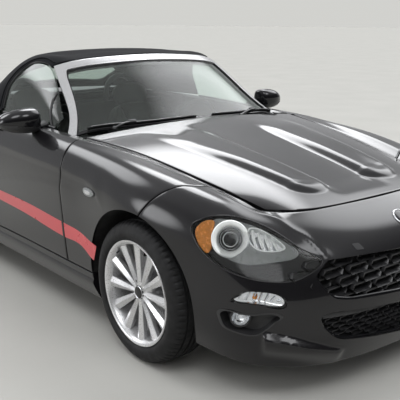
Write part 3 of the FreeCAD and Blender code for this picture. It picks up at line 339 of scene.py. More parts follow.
def panel(name, net, rows, columns, depth, extent, count, edge=2.0, top=0.0, inner=None, shape=None):
    """Curved panel of a net with rounded edges. Rows may be functions of the column, or columns
    of the row. Shape moves points along the normal, inner is the flat inside's x."""
    a, drop_a = edge_lines(count[0], extent[0], edge)
    b, drop_b = edge_lines(count[1], extent[1], edge)
    a, b = np.meshgrid(a, b, indexing="ij")
    if callable(columns[0]) or callable(columns[1]):
        row = rows[0] + a * (rows[1] - rows[0])
        low, high = [c(row) if callable(c) else c for c in columns]
        column = low + b * (high - low)
    else:
        column = columns[0] + b * (columns[1] - columns[0])
        low, high = [r(column) if callable(r) else r for r in rows]
        row = low + a * (high - low)
    points, normals = net.points(row, column), net.normals(row, column)
    if shape:
        points = points + normals * shape(points, row, column)[..., None]
    drop = np.minimum(drop_a[:, None] + drop_b[None, :], edge)[..., None]
    inside = points - normals * depth
    if inner:
        inside[..., 0] = inner
    return brick(name, points - normals * (top + drop), inside)


def lathe(name, profile, steps, shift=None):
    """Closed ring turned about X from a closed profile of x and radius, in millimetres. Shift
    changes the radius for each angle and profile point."""
    x, r = np.array(profile, float).T
    angles = np.linspace(0, TURN, steps, endpoint=False)[:, None]
    r = np.repeat(r[None, :], steps, 0)
    if shift is not None:
        r = r + shift(angles, x[None, :], r)
    verts = np.stack([np.broadcast_to(x, r.shape), r * np.cos(angles), r * np.sin(angles)], -1)
    m = len(profile)
    i, j = np.meshgrid(np.arange(steps), np.arange(m), indexing="ij")
    k, l = (i + 1) % steps, (j + 1) % m
    faces = np.stack([i * m + j, k * m + j, k * m + l, i * m + l], -1).reshape(-1, 4)
    return solid(name, verts.reshape(-1, 3) / 1000, faces)


def loft(name, rings):
    """Closed piece through matching rings of points, in metres."""
    rings = [np.asarray(points, float) for points in rings]
    m, last = len(rings[0]), len(rings) - 1
    ends = [tuple(range(m)), tuple(last * m + j for j in range(m))]
    return solid(name, np.concatenate(rings), band_faces(len(rings), m) + ends)


def turned(name, profile, steps=64):
    """Round piece turned about X from an open profile that starts and ends on the axis."""
    return loft(name, [[(x / 1000, y / 1000, z / 1000) for y, z in circle(r, steps)] for x, r in profile])


def ring(name, radius, tube, steps=48, sides=12):
    """Round ring about X."""
    return lathe(name, [(x, radius + r) for x, r in circle(tube, sides)], steps)


def sweep(name, path, radius, steps=12, flat=1.0):
    """Round or flattened bar along a path of points in metres. Radius may be a function of the
    share of the way."""
    path = [Vector(p) for p in path]
    last = len(path) - 1
    rings, side = [], None
    for i, p in enumerate(path):
        along = (path[min(i + 1, last)] - path[max(i - 1, 0)]).normalized()
        side = along.cross(Vector((0, 0, 1))) if side is None else side - along * side.dot(along)
        side.normalize()
        up = along.cross(side) * flat
        width = radius(i / last) if callable(radius) else radius
        rings.append([p + side * a + up * b for a, b in circle(width, steps)])
    return loft(name, rings)


def prism(name, outline, direction, back, front):
    """Closed prism through an outline of points in metres, along a direction."""
    direction = Vector(direction).normalized()
    return loft(name, [[Vector(p) + direction * step for p in outline] for step in (-back, front)])


def box(name, low, high, bevel=0.0):
    """Block between two corners with rounded edges."""
    mesh = bpy.data.meshes.new(name)
    work = bmesh.new()
    bmesh.ops.create_cube(work, size=1.0)
    low, high = Vector(low), Vector(high)
    for v in work.verts:
        v.co = (low + high) / 2 + v.co * (high - low)
    if bevel:
        bmesh.ops.bevel(work, geom=work.edges[:], offset=bevel, segments=3, affect="EDGES", profile=0.5)
    work.to_mesh(mesh)
    work.free()
    return link(name, mesh)


def shell(name, upper, lower):
    """Closed shell from rings that run from the edge to the middle, above and below."""
    m, n = len(upper[0]), len(upper) - 1
    last, under, middle_up = (n - 1) * m, n * m, 2 * n * m
    faces = band_faces(n, m) + [face[::-1] for face in band_faces(n, m, under)]
    for j in range(m):
        k = (j + 1) % m
        faces.append((last + j, last + k, middle_up))
        faces.append((last + under + k, last + under + j, middle_up + 1))
        faces.append((k, j, under + j, under + k))
    middles = [rings[-1].mean(axis=0)[None] for rings in (upper, lower)]
    return solid(name, np.concatenate(upper[:-1] + lower[:-1] + middles), faces)


def sheet_on(name, outline, top, depth, count=40, rings=10, rise=None, dome=0.0):
    """Closed shell over an outline of rows and columns of the body, bulging by dome."""
    loop = smooth_loop(outline, count)
    centre = loop.mean(axis=0)
    upper, lower = [], []
    for step in range(rings + 1):
        share = 1 - (step / rings) ** 1.15
        places = centre + (loop - centre) * share
        surface, normals = on_net(BODY, places, dome * (1 - share ** 2) - top, rise)
        upper.append(surface)
        lower.append(surface - normals * depth / 1000)
    return shell(name, upper, lower)


# Pieces

def baked(piece):
    """Applies the piece's modifiers."""
    graph = bpy.context.evaluated_depsgraph_get()
    mesh = bpy.data.meshes.new_from_object(piece.evaluated_get(graph))
    piece.modifiers.clear()
    piece.data = mesh
    return piece


def carved(piece, tools):
    """Cuts the tools out of a piece and deletes them."""
    for tool in tools:
        cut = piece.modifiers.new("cut", "BOOLEAN")
        cut.operation, cut.solver, cut.object = "DIFFERENCE", "MANIFOLD", tool
    baked(piece)
    for tool in tools:
        bpy.data.objects.remove(tool)
    return piece


def twin(piece, name="twin"):
    """Mirror image on the car's other side."""
    mesh = piece.data.copy()
    mesh.transform(Matrix.Scale(-1, 4, (1, 0, 0)))
    mesh.flip_normals()
    return link(name, mesh)


def moved(piece, matrix):
    piece.data.transform(matrix)
    return piece


def axes(x, y, z, centre):
    """Matrix with three directions and a centre."""
    matrix = Matrix((x, y, z)).transposed().to_4x4()
    matrix.translation = centre
    return matrix


def facing(piece, centre, normal):
    """Turns a piece made about +X to point along a normal, with +Z up, and sets it at a centre."""
    x = Vector(normal).normalized()
    y = Vector((0, 0, 1)).cross(x).normalized()
    return moved(piece, axes(x, y, x.cross(y), centre))


def joined(name, parts):
    """One piece made of several, with their materials kept."""
    mesh = bpy.data.meshes.new(name)
    work = bmesh.new()
    materials = []
    for part in parts:
        start = len(work.faces)
        work.from_mesh(part.data)
        work.faces.ensure_lookup_table()
        for face in work.faces[start:]:
            own = part.data.materials[face.material_index] if part.data.materials else None
            if own not in materials:
                materials.append(own)
            face.material_index = materials.index(own)
    work.to_mesh(mesh)
    work.free()
    for own in materials:
        mesh.materials.append(own)
    for part in parts:
        bpy.data.objects.remove(part)
    return link(name, mesh)


def dressed(piece, material, angle=32):
    piece.data.materials.clear()
    piece.data.materials.append(getattr(material, "material", material))
    piece.data.shade_smooth()
    piece.data.set_sharp_from_angle(angle=math.radians(angle))
    return piece


def lined(piece, material, test):
    """Gives a second material to the faces that pass a test."""
    piece.data.materials.append(material.material)
    for face in piece.data.polygons:
        if test(face):
            face.material_index = 1
    return piece


def done(piece, body, nodes=()):
    """Hands a finished piece to the frame."""
    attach(piece, body)
    if nodes:
        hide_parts(*nodes)
    return piece


def swapped(text):
    """Name with the other side in place of its own."""
    return text.replace("left", "right") if "left" in text else text.replace("right", "left")


def both(piece, body, slot, nodes=()):
    """Hands over a piece named for its side, and its twin on the other side."""
    other = twin(piece, swapped(piece.name))
    done(piece, body, nodes)
    done(other, swapped(body), [swapped(name) for name in nodes if swapped(name) != name])


class Cluster:
    """Parts that end as one piece. Some are set at a spot and look along a direction."""

    def __init__(self, spot=None, view=None):
        self.parts, self.spot, self.view = [], spot, view

    def add(self, piece, material, angle=32):
        self.parts.append(dressed(piece, material, angle))

    def face(self, piece, material, angle=32, depth=0):
        moved(piece, Matrix.Translation((-depth / 1000, 0, 0)))
        self.add(facing(piece, self.spot, self.view), material, angle)

    def join(self, name):
        return joined(name, self.parts)


# Materials

class Shader:
    """Principled material with small helpers for its procedural detail."""

    def __init__(self, name, color, roughness, **values):
        self.material = bpy.data.materials.new(name)
        self.material.use_nodes = True
        self.tree = self.material.node_tree
        self.shader = self.tree.nodes["Principled BSDF"]
        self.color = color
        self.shader.inputs["Base Color"].default_value = (*color, 1)
        self.shader.inputs["Roughness"].default_value = roughness
        for key, value in values.items():
            self.shader.inputs[key.replace("_", " ").title().replace("Ior", "IOR")].default_value = value
        self.place = self.tree.nodes.new("ShaderNodeTexCoord").outputs["Object"]
        self.height = None

    def node(self, kind, **settings):
        """New node with some of its inputs or settings given."""
        made = self.tree.nodes.new("ShaderNode" + kind)
        for key, value in settings.items():
            if key in made.inputs:
                made.inputs[key].default_value = value
            else:
                setattr(made, key, value)
        return made

    def join(self, start, end):
        self.tree.links.new(start, end)
        return self

    def noise(self, scale, detail=2.0, stretch=None):
        made = self.node("TexNoise", Scale=scale, Detail=detail)
        place = self.place
        if stretch:
            shape = self.node("Mapping")
            shape.inputs["Scale"].default_value = stretch
            self.join(place, shape.inputs["Vector"])
            place = shape.outputs["Vector"]
        self.join(place, made.inputs["Vector"])
        return made.outputs["Fac"]

    def tint(self, scale, spread):
        """Colour that wanders a little round the base colour."""
        made = self.node("ValToRGB")
        for element, at, share in zip(made.color_ramp.elements, (0.3, 0.7), (1 - spread, 1 + spread)):
            element.position = at
            element.color = (*[min(c * share, 1) for c in self.color], 1)
        self.join(self.noise(scale, 3.0), made.inputs["Fac"])
        return self.join(made.outputs["Color"], self.shader.inputs["Base Color"])

    def wear(self, scale, low, high):
        """Roughness between two values."""
        made = self.node("MapRange")
        self.join(self.noise(scale, 4.0), made.inputs["Value"])
        for name, value in zip(("From Min", "From Max", "To Min", "To Max"), (0.3, 0.7, low, high)):
            made.inputs[name].default_value = value
        return self.join(made.outputs["Result"], self.shader.inputs["Roughness"])

    def bump(self, source, strength, distance):
        made = self.node("Bump", Strength=strength, Distance=distance)
        self.join(source, made.inputs["Height"])
        if self.height is not None:
            self.join(self.height, made.inputs["Normal"])
        self.height = made.outputs["Normal"]
        return self.join(self.height, self.shader.inputs["Normal"])

    def grain(self, scale, strength=0.3, distance=0.0005, detail=2.0, stretch=None):
        return self.bump(self.noise(scale, detail, stretch=stretch), strength, distance)

    def weave(self, pitch, strength=0.5, distance=0.0004):
        """Crossing threads along X and Y."""
        heights = []
        for axis in ("X", "Y"):
            wave = self.node("TexWave", wave_type="BANDS", bands_direction=axis, Scale=0.314 / pitch,
                             Distortion=0.6)
            wave.inputs["Detail"].default_value = 1.0
            self.join(self.place, wave.inputs["Vector"])
            heights.append(wave.outputs["Fac"])
        both = self.node("Math", operation="MAXIMUM")
        self.join(heights[0], both.inputs[0])
        self.join(heights[1], both.inputs[1])
        return self.bump(both.outputs["Value"], strength, distance)


PAINT = Shader("body_paint_black", (0.0066, 0.0062, 0.0072), 0.35, specular_ior_level=0.12, coat_weight=1.0,
               coat_roughness=0.03, coat_ior=1.38)
PAINT.tint(3.0, 0.18).wear(900.0, 0.26, 0.36).grain(1400.0, 0.012, 0.0002)
BLACK_GLOSS = Shader("gloss_black_plastic", (0.008, 0.008, 0.009), 0.12, specular_ior_level=0.15,
                     coat_weight=0.5)
BLACK_GLOSS.tint(6.0, 0.2).wear(60.0, 0.08, 0.16).grain(700.0, 0.02, 0.0002)
BLACK_SATIN = Shader("satin_black_plastic", (0.022, 0.022, 0.023), 0.45)
BLACK_SATIN.tint(20.0, 0.2).wear(40.0, 0.38, 0.52).grain(1500.0, 0.15, 0.0003)
GRILLE = Shader("grille_plastic_dark", (0.016, 0.016, 0.017), 0.38)
GRILLE.tint(25.0, 0.25).wear(50.0, 0.3, 0.5).grain(1200.0, 0.12, 0.0003)
LINER = Shader("arch_liner_felt", (0.012, 0.012, 0.012), 0.9)
LINER.tint(30.0, 0.35).wear(25.0, 0.8, 0.95).grain(500.0, 0.5, 0.001)
SILVER = Shader("screen_frame_silver", (0.46, 0.46, 0.465), 0.34, metallic=0.4, coat_weight=0.5)
SILVER.tint(5.0, 0.04).wear(700.0, 0.24, 0.33).grain(1500.0, 0.02, 0.0002)
FABRIC = Shader("soft_top_cloth", (0.0075, 0.008, 0.0095), 0.95, sheen_weight=0.04,
                sheen_roughness=0.4, specular_ior_level=0.12)
FABRIC.tint(240.0, 0.35).weave(0.0016, 0.12, 0.0003).grain(60.0, 0.15, 0.001)
GLASS = Shader("window_glass_tinted", (0.66, 0.75, 0.71), 0.0, transmission_weight=1.0, ior=1.45)
GLASS.tint(2.0, 0.02).wear(8.0, 0.0, 0.012)
LENS = Shader("lamp_lens_clear", (0.93, 0.94, 0.95), 0.0, transmission_weight=1.0, ior=1.22)
LENS.tint(4.0, 0.02).wear(15.0, 0.0, 0.02)
CHROME = Shader("lamp_reflector_chrome", (0.72, 0.73, 0.75), 0.12, metallic=1.0)
CHROME.tint(15.0, 0.05).wear(40.0, 0.08, 0.2)
BEZEL = Shader("lamp_bezel_pale", (0.76, 0.78, 0.77), 0.35)
BEZEL.tint(30.0, 0.06).wear(60.0, 0.28, 0.42).grain(300.0, 0.08, 0.0003)
DARK_CHROME = Shader("lamp_bowl_chrome", (0.34, 0.35, 0.37), 0.15, metallic=1.0)
DARK_CHROME.tint(15.0, 0.05).wear(40.0, 0.1, 0.25)
BEZEL_GREY = Shader("lamp_housing_grey", (0.20, 0.21, 0.21), 0.3)
BEZEL_GREY.tint(30.0, 0.06).wear(60.0, 0.22, 0.4).grain(300.0, 0.08, 0.0003)
AMBER = Shader("lamp_amber", (0.72, 0.25, 0.03), 0.25, transmission_weight=0.15)
AMBER.tint(60.0, 0.18).wear(60.0, 0.18, 0.32).grain(260.0, 0.4, 0.001, stretch=(1, 1, 4))
RED_LENS = Shader("lamp_red", (0.42, 0.012, 0.012), 0.08, transmission_weight=0.25, coat_weight=0.6)
RED_LENS.tint(30.0, 0.15).wear(40.0, 0.05, 0.12).grain(260.0, 0.2, 0.0006)
ALLOY = Shader("rim_alloy_silver", (0.66, 0.66, 0.665), 0.3, metallic=0.7, coat_weight=0.4)
ALLOY.tint(14.0, 0.05).wear(250.0, 0.25, 0.38).grain(900.0, 0.04, 0.0002)
STEEL = Shader("disc_steel_turned", (0.42, 0.42, 0.43), 0.32, metallic=1.0)
STEEL.tint(40.0, 0.15).wear(90.0, 0.25, 0.42).grain(500.0, 0.15, 0.0003)
RUBBER = Shader("tyre_rubber_black", (0.011, 0.011, 0.0115), 0.66, specular_ior_level=0.25)
RUBBER.tint(40.0, 0.25).wear(30.0, 0.5, 0.72).grain(420.0, 0.25, 0.0005)
UNDERBODY = Shader("underbody_coating", (0.03, 0.03, 0.031), 0.75)
UNDERBODY.tint(14.0, 0.3).wear(10.0, 0.6, 0.85).grain(260.0, 0.4, 0.0012)
CAST = Shader("chassis_casting", (0.11, 0.11, 0.112), 0.55, metallic=0.7)
CAST.tint(25.0, 0.25).wear(30.0, 0.42, 0.7).grain(350.0, 0.35, 0.0008)
ENGINE = Shader("engine_casting", (0.36, 0.365, 0.37), 0.5, metallic=0.8)
ENGINE.tint(20.0, 0.2).wear(30.0, 0.4, 0.62).grain(300.0, 0.4, 0.0008)
PIPE = Shader("exhaust_brushed", (0.47, 0.46, 0.44), 0.35, metallic=1.0)
PIPE.tint(18.0, 0.2).wear(50.0, 0.25, 0.48).grain(400.0, 0.15, 0.0003, stretch=(1, 8, 1))
LEATHER = Shader("seat_leather_black", (0.04, 0.038, 0.037), 0.5, sheen_weight=0.1)
LEATHER.tint(12.0, 0.15).wear(30.0, 0.42, 0.55).grain(420.0, 0.12, 0.0004, detail=3.0)
TRIM = Shader("cabin_plastic_grained", (0.045, 0.045, 0.047), 0.6)
TRIM.tint(20.0, 0.2).wear(60.0, 0.5, 0.7).grain(900.0, 0.4, 0.0006, detail=4.0)
PLATE = Shader("number_plate_blank", (0.62, 0.62, 0.60), 0.4)
PLATE.tint(20.0, 0.04).wear(60.0, 0.3, 0.5).grain(600.0, 0.06, 0.0002)
HOOP = Shader("hoop_satin_grey", (0.11, 0.11, 0.115), 0.4, metallic=0.4)
HOOP.tint(20.0, 0.15).wear(60.0, 0.32, 0.5).grain(900.0, 0.1, 0.0003)
STRIPE = Shader("stripe_film_red", (0.56, 0.05, 0.06), 0.28, coat_weight=0.5)
STRIPE.tint(3.0, 0.05).wear(8.0, 0.26, 0.32)
FLOOR = Shader("studio_floor_paint", (0.43, 0.425, 0.40), 0.9, specular_ior_level=0.0)
FLOOR.tint(1.5, 0.03).wear(3.0, 0.85, 0.95).grain(60.0, 0.05, 0.001)


# Painted panels

# The gap, the thicknesses and the hinge's place are in millimetres. The door's edges, the
# line before the tail, the tail's middle and the sill's line are rows and columns of BODY.
GAP = 6
DOOR_FRONT, DOOR_REAR = 7, 9
TAIL_SPLIT = 12.6
TAIL_MIDDLE = 16
SILL_LINE = 1.08
DOOR_INNER = 690
SKIN = 10
LID = 22
ARCH = 352
HINGE_X, HINGE_BACK = 800, 70
HINGE_STATION = 1463 + HINGE_BACK


def hood_rise(points, row, column):
    """Two long domes with a valley between them."""
    x, s = np.abs(points[..., 0]), points[..., 1]
    start, middle, half = 505.0, 232.0, 107.0
    inner = 125 + 0.03 * np.maximum(s - start, 0)
    outer = 339 + 0.165 * np.maximum(s - start, 0)
    share = np.clip((x - inner) / (outer - inner), 0, 1)
    along = through([0, 0.05, 0.12, 0.3, 0.6, 0.84, 0.93, 1.0],
                    [0, 0.14, 0.50, 0.80, 1.0, 0.92, 0.40, 0.0], share)
    radius = np.hypot(x - middle, s - start) / half
    edge = np.clip(1 - radius, 0, 1)
    inside = through([0, 0.12, 0.3, 0.7, 1.0], [0, 0.46, 0.78, 0.92, 0.95], edge)
    outside = through([0, 0.10, 0.26, 0.6, 1.0], [0, 0.30, 0.82, 0.97, 0.95], edge)
    turn = 0.5 + 0.5 * np.clip((x - middle) / half / np.maximum(radius, 0.05), -1, 1)
    tip = inside * (1 - turn) + outside * turn
    dome = np.where(s > start, along, tip) * 17 * (1 - 0.55 * smooth((s - 760) / 330))
    dome *= 1 - smooth((s - 1090) / 260)
    valley = 1 - smooth((x - inner + 8) / (0.33 * (outer - inner)))
    valley = valley * 14 * smooth((s - 330) / 170) * (1 - smooth((s - 1020) / 330))
    return dome - valley


def side_rise(points, row, column):
    """Lines of the side: the crest by the hood, two lines along the door and the flared arches."""
    r = np.abs(row)
    crest = through([1.55, 1.63, 1.68, 1.89, 2.31, 2.9, 3.6, 4.6, 6, 7, 8.5, 10],
                    [4.0, 4.22, 4.49, 5.0, 5.5, 5.62, 5.6, 5.56, 5.52, 5.5, 5.5, 5.5], r)
    strength = smooth((r - 1.5) / 0.25) * (1 - smooth((r - 6.6) / 1.2))
    ridge = 5.0 * np.exp(-np.abs((column - crest) / 0.13) ** 1.6) * strength
    line = through([5.5, 5.62, 5.81, 6.23, 6.98, 7.58, 8.23, 9.0, 9.6],
                   [2.9, 3.26, 3.62, 3.79, 3.87, 3.87, 3.92, 3.98, 4.02], r)
    fade = smooth((r - 5.5) / 0.35) * (1 - smooth((r - 9.2) / 0.9))
    feature = 3.6 * smooth((column - line + 0.05) / 0.10) * (1 - smooth((column - line) / 1.0)) * fade
    low = through([6.3, 6.99, 7.57, 8.25, 9.0, 10.0], [3.5, 3.46, 3.31, 2.94, 2.6, 2.4], r)
    fade = smooth((r - 6.3) / 0.6) * (1 - smooth((r - 9.2) / 0.9))
    feature += 2.6 * smooth((low - column + 0.05) / 0.10) * (1 - smooth((low - column) / 0.9)) * fade
    flare = 5.0 * np.exp(-((column - 3.0) / 0.9) ** 2) * (
        np.exp(-((r - 5.0) / 0.75) ** 2) + np.exp(-((r - 11) / 0.7) ** 2))
    return ridge + feature + flare


def ledge_column(r):
    """Column of the ledge under the nose, for a row."""
    return through([1.3, 1.46, 1.89, 2.33, 2.75, 3.0], [0.75, 0.92, 1.33, 1.66, 1.78, 1.8], r)


def nose_rise(points, row, column):
    """The side's lines carried on round the nose, and the ledge under it."""
    r = np.abs(row)
    below = ledge_column(r) - column
    strength = smooth((r - 1.36) / 0.12) * (1 - smooth((r - 2.74) / 0.10))
    wide = through([1.3, 1.5, 2.0, 2.4, 2.9], [0.15, 0.16, 0.20, 0.24, 0.26], r)
    high = through([1.3, 1.5, 2.0, 2.4, 2.9], [12.0, 15.0, 22.0, 25.0, 26.0], r)
    ledge = high * np.clip(below / wide, 0, 1) * (1 - smooth((below - wide) / 1.1)) * strength
    return side_rise(points, row, column) + ledge


def sill_rise(points, row, column):
    """Skirt that stands out below a ledge along the sill."""
    return 9.0 * smooth((0.86 - column) / 0.12) * (1 - 0.8 * smooth((0.7 - column) / 0.7))


def lid_rise(points, row, column):
    """Shallow lip along the lid's rear edge."""
    s = points[..., 1]
    return 5.0 * smooth((s - 3770) / 90) * (1 - smooth((s - 3850) / 80))


def fender_line(share):
    """Shut line between nose and fender, moved by a share of the gap."""
    shift = share * GAP / 350
    return lambda column: 4.86 + shift - 0.54 * np.maximum(0.0, (column - 3.3) / 2.7)


def arch_tool(station, side=1):
    """Cylinder across the car at a wheel arch, a little above the hub."""
    height = HUB + 6
    rings = [[(side * x, station + y, height + z) for y, z in circle(ARCH, 160)] for x in (485, 1000)]
    return loft("arch_tool", metres(rings))


def upright_tool(x, s, radius, low, high):
    """Upright cylinder."""
    rings = [[(x + a, s + b, z) for a, b in circle(radius, 96)] for z in (low, high)]
    return loft("round_tool", metres(rings))


def flat_prism(outline, start, end):
    """Prism along Y of an outline in x and z, all in millimetres with stations."""
    return prism("flat_tool", metres([(x, start, z) for x, z in outline]), (0, 1, 0), 0, (end - start) / 1000)


def space_tool(places, count, rise=None):
    """Prism through an outline on the body, along its mean normal."""
    points, normals = on_net(BODY, places, 0, rise)
    return prism("space_tool", smooth_loop(points, count), normals.mean(axis=0), 0.13, 0.06)


def make_sides():
    """Fenders, quarters and sills."""
    sill = SILL_LINE + GAP / 105
    fender = panel("fender_left_skin", BODY, (fender_line(0.5), DOOR_FRONT - GAP / 243), (sill, 6), SKIN,
                   (780, 620), (80, 62), shape=side_rise)
    corner = math.hypot(BODY.points(DOOR_FRONT, 3)[0] - HINGE_X, HINGE_BACK) + 5
    carved(fender, [arch_tool(FRONT_AXLE), upright_tool(HINGE_X, HINGE_STATION, corner, 290, 740)])
    both(dressed(fender, PAINT), "body", "body_paint", ["fender_left"])
    quarter = panel("quarter_left_skin", BODY, (DOOR_REAR + GAP / 290, TAIL_SPLIT), (sill, 6), SKIN,
                    (1150, 640), (94, 60), shape=side_rise)
    carved(quarter, [arch_tool(REAR_AXLE)])
    both(dressed(quarter, PAINT), "body", "body_paint", ["quarter_left"])
    rocker = panel("rocker_left_skin", BODY, (5.7, 10.4), (0, SILL_LINE), 1, (1750, 110), (150, 16),
                   inner=678, shape=sill_rise)
    carved(rocker, [arch_tool(FRONT_AXLE), arch_tool(REAR_AXLE)])
    both(dressed(rocker, PAINT), "body", "body_paint", ["rocker_panels"])


def make_doors():
    """Doors with a painted skin and a trimmed inside, cut clear of their hinges."""
    door = panel("door_left_skin", BODY, (DOOR_FRONT, DOOR_REAR), (SILL_LINE + GAP / 105, 5.98), SKIN,
                 (1077, 690), (84, 62), inner=DOOR_INNER, shape=side_rise)
    x, y = HINGE_X, HINGE_STATION
    corner = box("corner", metres((DOOR_INNER - 50, y - 160, 150)), metres((900, y, 1000)))
    carved(corner, [upright_tool(x, y, 114, 100, 1100)])
    pockets = [box("pocket", metres((x - 146, y - 126, level - 5)), metres((x + 20, y + 20, level + 35)))
               for level in (400, 680)]
    carved(door, [corner] + pockets)
    lined(dressed(door, PAINT), TRIM, lambda face: face.center.x < DOOR_INNER / 1000 + 0.0005)
    both(door, "door_left", "body_paint", ["door_left"])


def grille_outline(upper, top, lower, low):
    """Outline in x and z from its left half's upper and lower points and its middle heights."""
    outline = [(-x, z) for x, z in upper] + [(0, top)] + upper[::-1] + lower + [(0, low)]
    return outline + [(-x, z) for x, z in lower[::-1]]


MAIN_GRILLE = grille_outline([(532, 514), (500, 541), (471, 562), (376, 563), (115, 551)], 549,
                             [(526, 488), (501, 449), (477, 427), (418, 414), (166, 397)], 393)
LOWER_GRILLE = grille_outline([(537, 354), (522, 374), (487, 379), (172, 358)], 353,
                              [(525, 323), (482, 278), (443, 259), (126, 212)], 208)
# Outlines on the right side of the nose and the left side of the tail, as rows and columns.
HEADLAMP = [(-4.08, 3.94), (-4.05, 4.12), (-3.95, 4.34), (-3.71, 4.64), (-3.45, 4.85), (-3.11, 5.02),
            (-2.67, 5.05), (-2.33, 4.90), (-2.11, 4.69), (-1.90, 4.42), (-1.68, 4.13), (-1.74, 3.94),
            (-1.90, 3.72), (-2.06, 3.56), (-2.23, 3.46), (-2.45, 3.41), (-2.75, 3.38), (-3.03, 3.37),
            (-3.37, 3.36), (-3.62, 3.39), (-3.85, 3.51), (-4.00, 3.69)]
TURN_LAMP = [(-3.34, 2.50), (-3.23, 2.74), (-3.10, 2.94), (-2.79, 3.06), (-2.55, 3.06), (-2.44, 3.0),
             (-2.38, 2.91), (-2.38, 2.76), (-2.81, 2.66), (-3.20, 2.54)]
FOG_SPACE = [(-3.54, 2.03), (-3.50, 2.10), (-3.0, 2.32), (-2.53, 2.49), (-2.45, 2.43), (-2.55, 2.24),
             (-2.69, 1.98), (-2.79, 1.76), (-2.93, 1.52), (-3.10, 1.42), (-3.28, 1.41), (-3.45, 1.45),
             (-3.53, 1.68)]
TAIL_LAMP = [(12.72, 4.55), (13.1, 4.78), (13.7, 4.95), (14.2, 5.0), (14.5, 4.86), (14.42, 4.45),
             (14.1, 4.1), (13.6, 3.95), (13.1, 4.05), (12.78, 4.25)]


def make_bumpers():
    """Nose with its grille and lamp openings, and tail with lamp, pipe and plate openings."""
    line = fender_line(-0.5)
    nose = panel("front_bumper_skin", BODY, (lambda c: -line(c), line), (0, 6), SKIN, (2300, 760),
                 (206, 90), shape=nose_rise, edge=1.4)
    tools = [arch_tool(FRONT_AXLE, side) for side in (1, -1)]
    tools += [flat_prism(rounded(outline, radius), -30, 420)
              for outline, radius in ((MAIN_GRILLE, 26), (LOWER_GRILLE, 30))]
    for places in (HEADLAMP, TURN_LAMP, FOG_SPACE):
        tool = space_tool(places, 64, nose_rise)
        tools += [tool, twin(tool)]
    carved(nose, tools)
    done(dressed(nose, PAINT, 38), "body", ["front_bumper"])
    row = TAIL_SPLIT + GAP / 310
    tail = panel("rear_bumper_skin", BODY, (row, 2 * TAIL_MIDDLE - row), (0, 5.86), SKIN, (1750, 680),
                 (170, 58), shape=side_rise)
    lamp = space_tool(TAIL_LAMP, 56)
    tools = [lamp, twin(lamp)]
    for side in (1, -1):
        tools.append(flat_prism([(side * (350 + x), 196 + z) for x, z in circle(52, 16)], 3850, 4120))
    tools.append(flat_prism(rounded([(-178, 432), (-178, 618), (178, 618), (178, 432)], 12), 3990, 4120))
    carved(tail, tools)
    done(dressed(tail, PAINT, 38), "body", ["rear_bumper"])


def make_top():
    """Hood, rear deck and trunk lid."""
    hood = panel("hood_skin", HOOD, (-0.011, 4), (0.011, 5.989), LID, (1120, 1150), (112, 112),
                 shape=hood_rise, edge=1.6)
    done(dressed(hood, PAINT), "hood", ["hood"])
    deck = panel("rear_deck_skin", DECK, (0, 1), (0.02, 5.98), SKIN, (350, 1300), (34, 80))
    done(dressed(deck, PAINT), "body", ["rear_deck"])
    lid = panel("trunk_lid_skin", DECK, (1 + 4 / 340, 4), (0.03, 5.97), LID, (740, 1150), (58, 86),
                shape=lid_rise, edge=3.0)
    done(dressed(lid, PAINT), "trunk_lid", ["trunk_lid"])


# Glasshouse and soft top

def rounded_columns(rows, columns, reach, pull):
    """Columns of an opening with rounded corners: reach is the corner's size in rows."""
    def drop(row):
        near = np.minimum(row - rows[0], rows[1] - row)
        t = np.clip(1 - near / reach, 0, 1)
        return pull * (1 - np.sqrt(np.maximum(1 - t * t, 0)))
    return (lambda row: columns[0] + drop(row), lambda row: columns[1] - drop(row))


def screen_rise(points, row, column):
    """Fine seam along the surround's outer edge."""
    edge = np.minimum(np.minimum(column, 6 - column) / 0.62, (3 - row) / 0.28)
    return -1.5 * np.exp(-((edge - 0.86) / 0.05) ** 2)


def make_screen():
    """Silver surround, glass and the dark band round the glass."""
    rows, size = (-0.3, 2.72), (520, 1090)
    surround = panel("windshield_surround", SCREEN, (0.12, 3), (0, 6), 38, (560, 1400), (90, 170), edge=5,
                     shape=screen_rise)
    hole = panel("screen_hole", SCREEN, rows, rounded_columns(rows, (0.62, 5.38), 0.5, 0.28), 90,
                 (600, 1100), (50, 70), top=-60)
    cut = box("door_cut", metres((684, 1500, 700)), metres((1000, 1900, 913)))
    carved(surround, [hole, cut, twin(cut)])
    cabin = Vector((0, 0.3, 0.75))
    lined(dressed(surround, SILVER, 40), BLACK_SATIN,
          lambda face: face.normal.dot((cabin - face.center).normalized()) > 0.12)
    done(surround, "body", ["windshield_frame"])
    glass = panel("windshield_pane", SCREEN, (0.14, 2.715), rounded_columns(rows, (0.625, 5.375), 0.5, 0.28),
                  13, size, (40, 60), top=8, edge=1)
    done(dressed(glass, GLASS, 40), "body", ["windshield_glass"])
    band = panel("windshield_seal", SCREEN, (0.13, 2.72), rounded_columns(rows, (0.62, 5.38), 0.5, 0.28),
                 14, size, (60, 90), top=7, edge=1)
    cut = panel("seal_cut", SCREEN, (0.27, 2.655), rounded_columns((0.1, 2.655), (0.70, 5.30), 0.5, 0.28),
                60, size, (60, 90), top=-40)
    done(dressed(carved(band, [cut]), BLACK_GLOSS, 40), "body")


def glass_edge(column):
    """Rear edge of the door glass: upright, then leaning forward near its top."""
    return 3.22 - 0.5 * np.maximum(0.0, (column - 0.9) / 1.06) ** 2


def top_front(column):
    """Front edge of the soft top, bowed forward in the middle."""
    return 2.04 - 0.44 * (1 - ((column - 5) / 3) ** 2)


